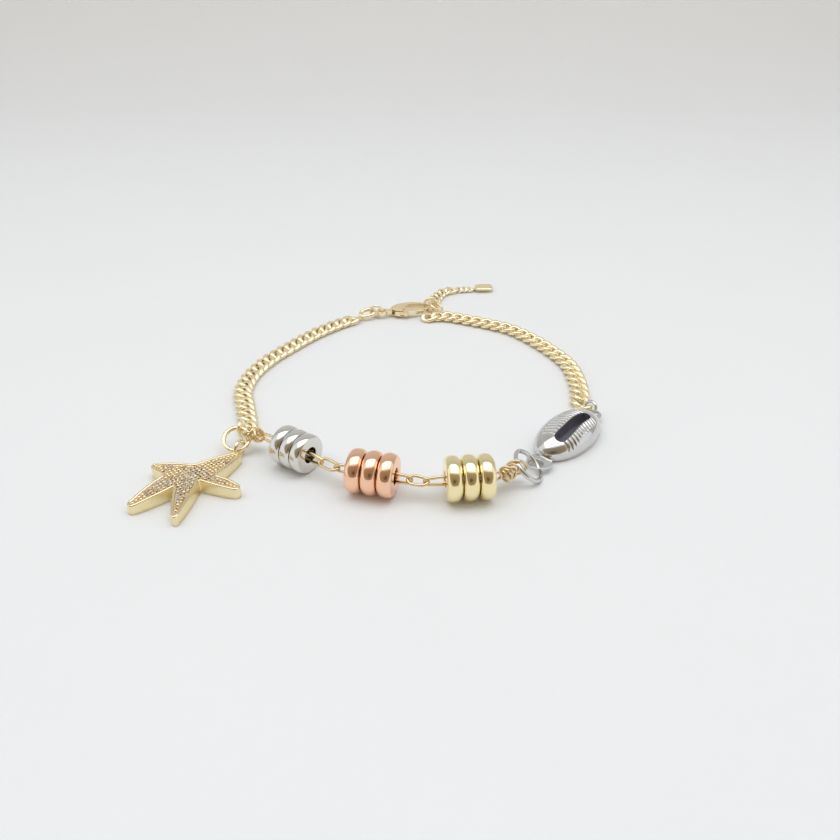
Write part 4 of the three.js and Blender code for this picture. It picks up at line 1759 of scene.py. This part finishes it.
def sub_assemblies() -> list:
    """Gives the bracelet's sub-assemblies in the order in which they are made.

    Returns:
        The sub-assemblies, each with a build method.
    """
    left = ((-12.3, 26.6), (-14.2, 25.4), (-16.9, 23.1), (-20.3, 19.4), (-23.4, 15.1), (-26.4, 10.6),
            (-28.6, 5.3), (-29.2, 0.0), (-28.0, -4.8), (-26.7, -10.0), (-26.4, -12.2))
    right = ((1.0, 27.3), (4.8, 27.75), (9.5, 26.0), (13.3, 24.3), (16.9, 22.2), (20.2, 18.6), (23.3, 14.0),
             (25.7, 8.8), (26.4, 3.3), (26.2, -1.2), (25.6, -4.4))
    extender = ((2.4, 32.8), (2.95, 35.3), (4.0, 38.2), (5.4, 39.7), (7.3, 40.3))
    fine = ((7.75, 40.5), (9.3, 40.75), (10.8, 40.85))
    rhodium = {"finish": Finish.CAST_RHODIUM, "slot": "silver_beads"}
    return [
        CurbChain("left_curb_links", "curb_chain_left", left, pitch=1.83),
        CurbChain("right_curb_links", "curb_chain_right", right),
        CurbChain("extender_links", "extender_chain", extender, pitch=1.7, width=2.6, wire=0.7, reach=1.2),
        CurbChain("fine_extender_links", "extender_fine_chain", fine, pitch=1.15, width=2.1, wire=0.55,
                  reach=0.8, finish=Finish.PALE_CHAIN_GOLD),
        RondelleGroup("silver", (-17.8, -20.2), yaw=-34, pitch=1.87, thickness=1.75, diameter=5.9,
                      finish=Finish.RHODIUM_MIRROR, slot="silver_beads"),
        RondelleGroup("rose", (-6.5, -26.25), yaw=-14, pitch=2.26, thickness=2.14, diameter=6.35,
                      finish=Finish.ROSE_MIRROR, slot="rose_gold_beads"),
        RondelleGroup("gold", GOLD_MIDDLE, yaw=6.5, pitch=2.26, thickness=2.14, diameter=6.5,
                      finish=Finish.PALE_GOLD_MIRROR, slot="pale_gold_beads"),
        BeadWire(),
        JumpRing("charm_ring", "charm_jump_ring", (-27.12, -16.4, 2.09), (0.02, -0.47, 0.88),
                 radius=1.9, wire=0.68),
        JumpRing("clasp_eye_ring", "clasp_jump_ring", (-8.44, 28.45, 1.43), (0.04, 0.99, 0.16),
                 radius=1.15, finish=Finish.PALE_CHAIN_GOLD),
        JumpRing("clasp_caught_ring", "clasp_held_ring", (2.03, 31.01, 1.6), (-0.2, 0.98, 0.01),
                 radius=1.3),
        JumpRing("right_back_end_ring", "chain_link_right_back", (3.22, 30.47, 1.46), (0.5, -0.01, 0.87),
                 radius=1.4, wire=0.45),
        JumpRing("shell_front_wire_ring", "shell_front_ring", (15.3, -22.94, 1.97), (0.66, -0.11, 0.74),
                 radius=2.5, wire=0.68, **rhodium),
        JumpRing("shell_back_wire_ring", "shell_back_ring", (26.9, -6.63, 1.4), (-0.72, -0.59, 0.36),
                 radius=1.05, **rhodium),
        EndLink("left_front_end_link", "chain_link_left_front", (-26.62, -14.29, 2.47),
                (0.02, -0.52, 0.85), (0.98, -0.2, 0.03), length=3.4, width=2.4),
        EndLink("right_front_end_link", "chain_link_right_front", (26.07, -6.01, 1.06),
                (0.8, -0.5, 0.3), (-0.15, 0.45, 0.88), length=3.2, width=2.4),
        EndLink("left_back_end_link", "chain_link_left_back", (-10.14, 28.09, 1.18),
                (0.94, 0.34, 0.1), (-0.06, -0.32, 0.95), length=3.4, width=2.5, wire=0.74),
        EndTag(),
        Starfish(),
        Cowrie(),
        LobsterClasp(),
    ]


def main() -> None:
    """Builds the studio and every sub-assembly around the frame."""
    logging.basicConfig(level=logging.INFO, format="%(name)s: %(message)s")
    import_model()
    bench = Bench.from_frame()
    Studio().build(bench)
    for part in sub_assemblies():
        part.build(bench)


if __name__ == "__main__":
    main()
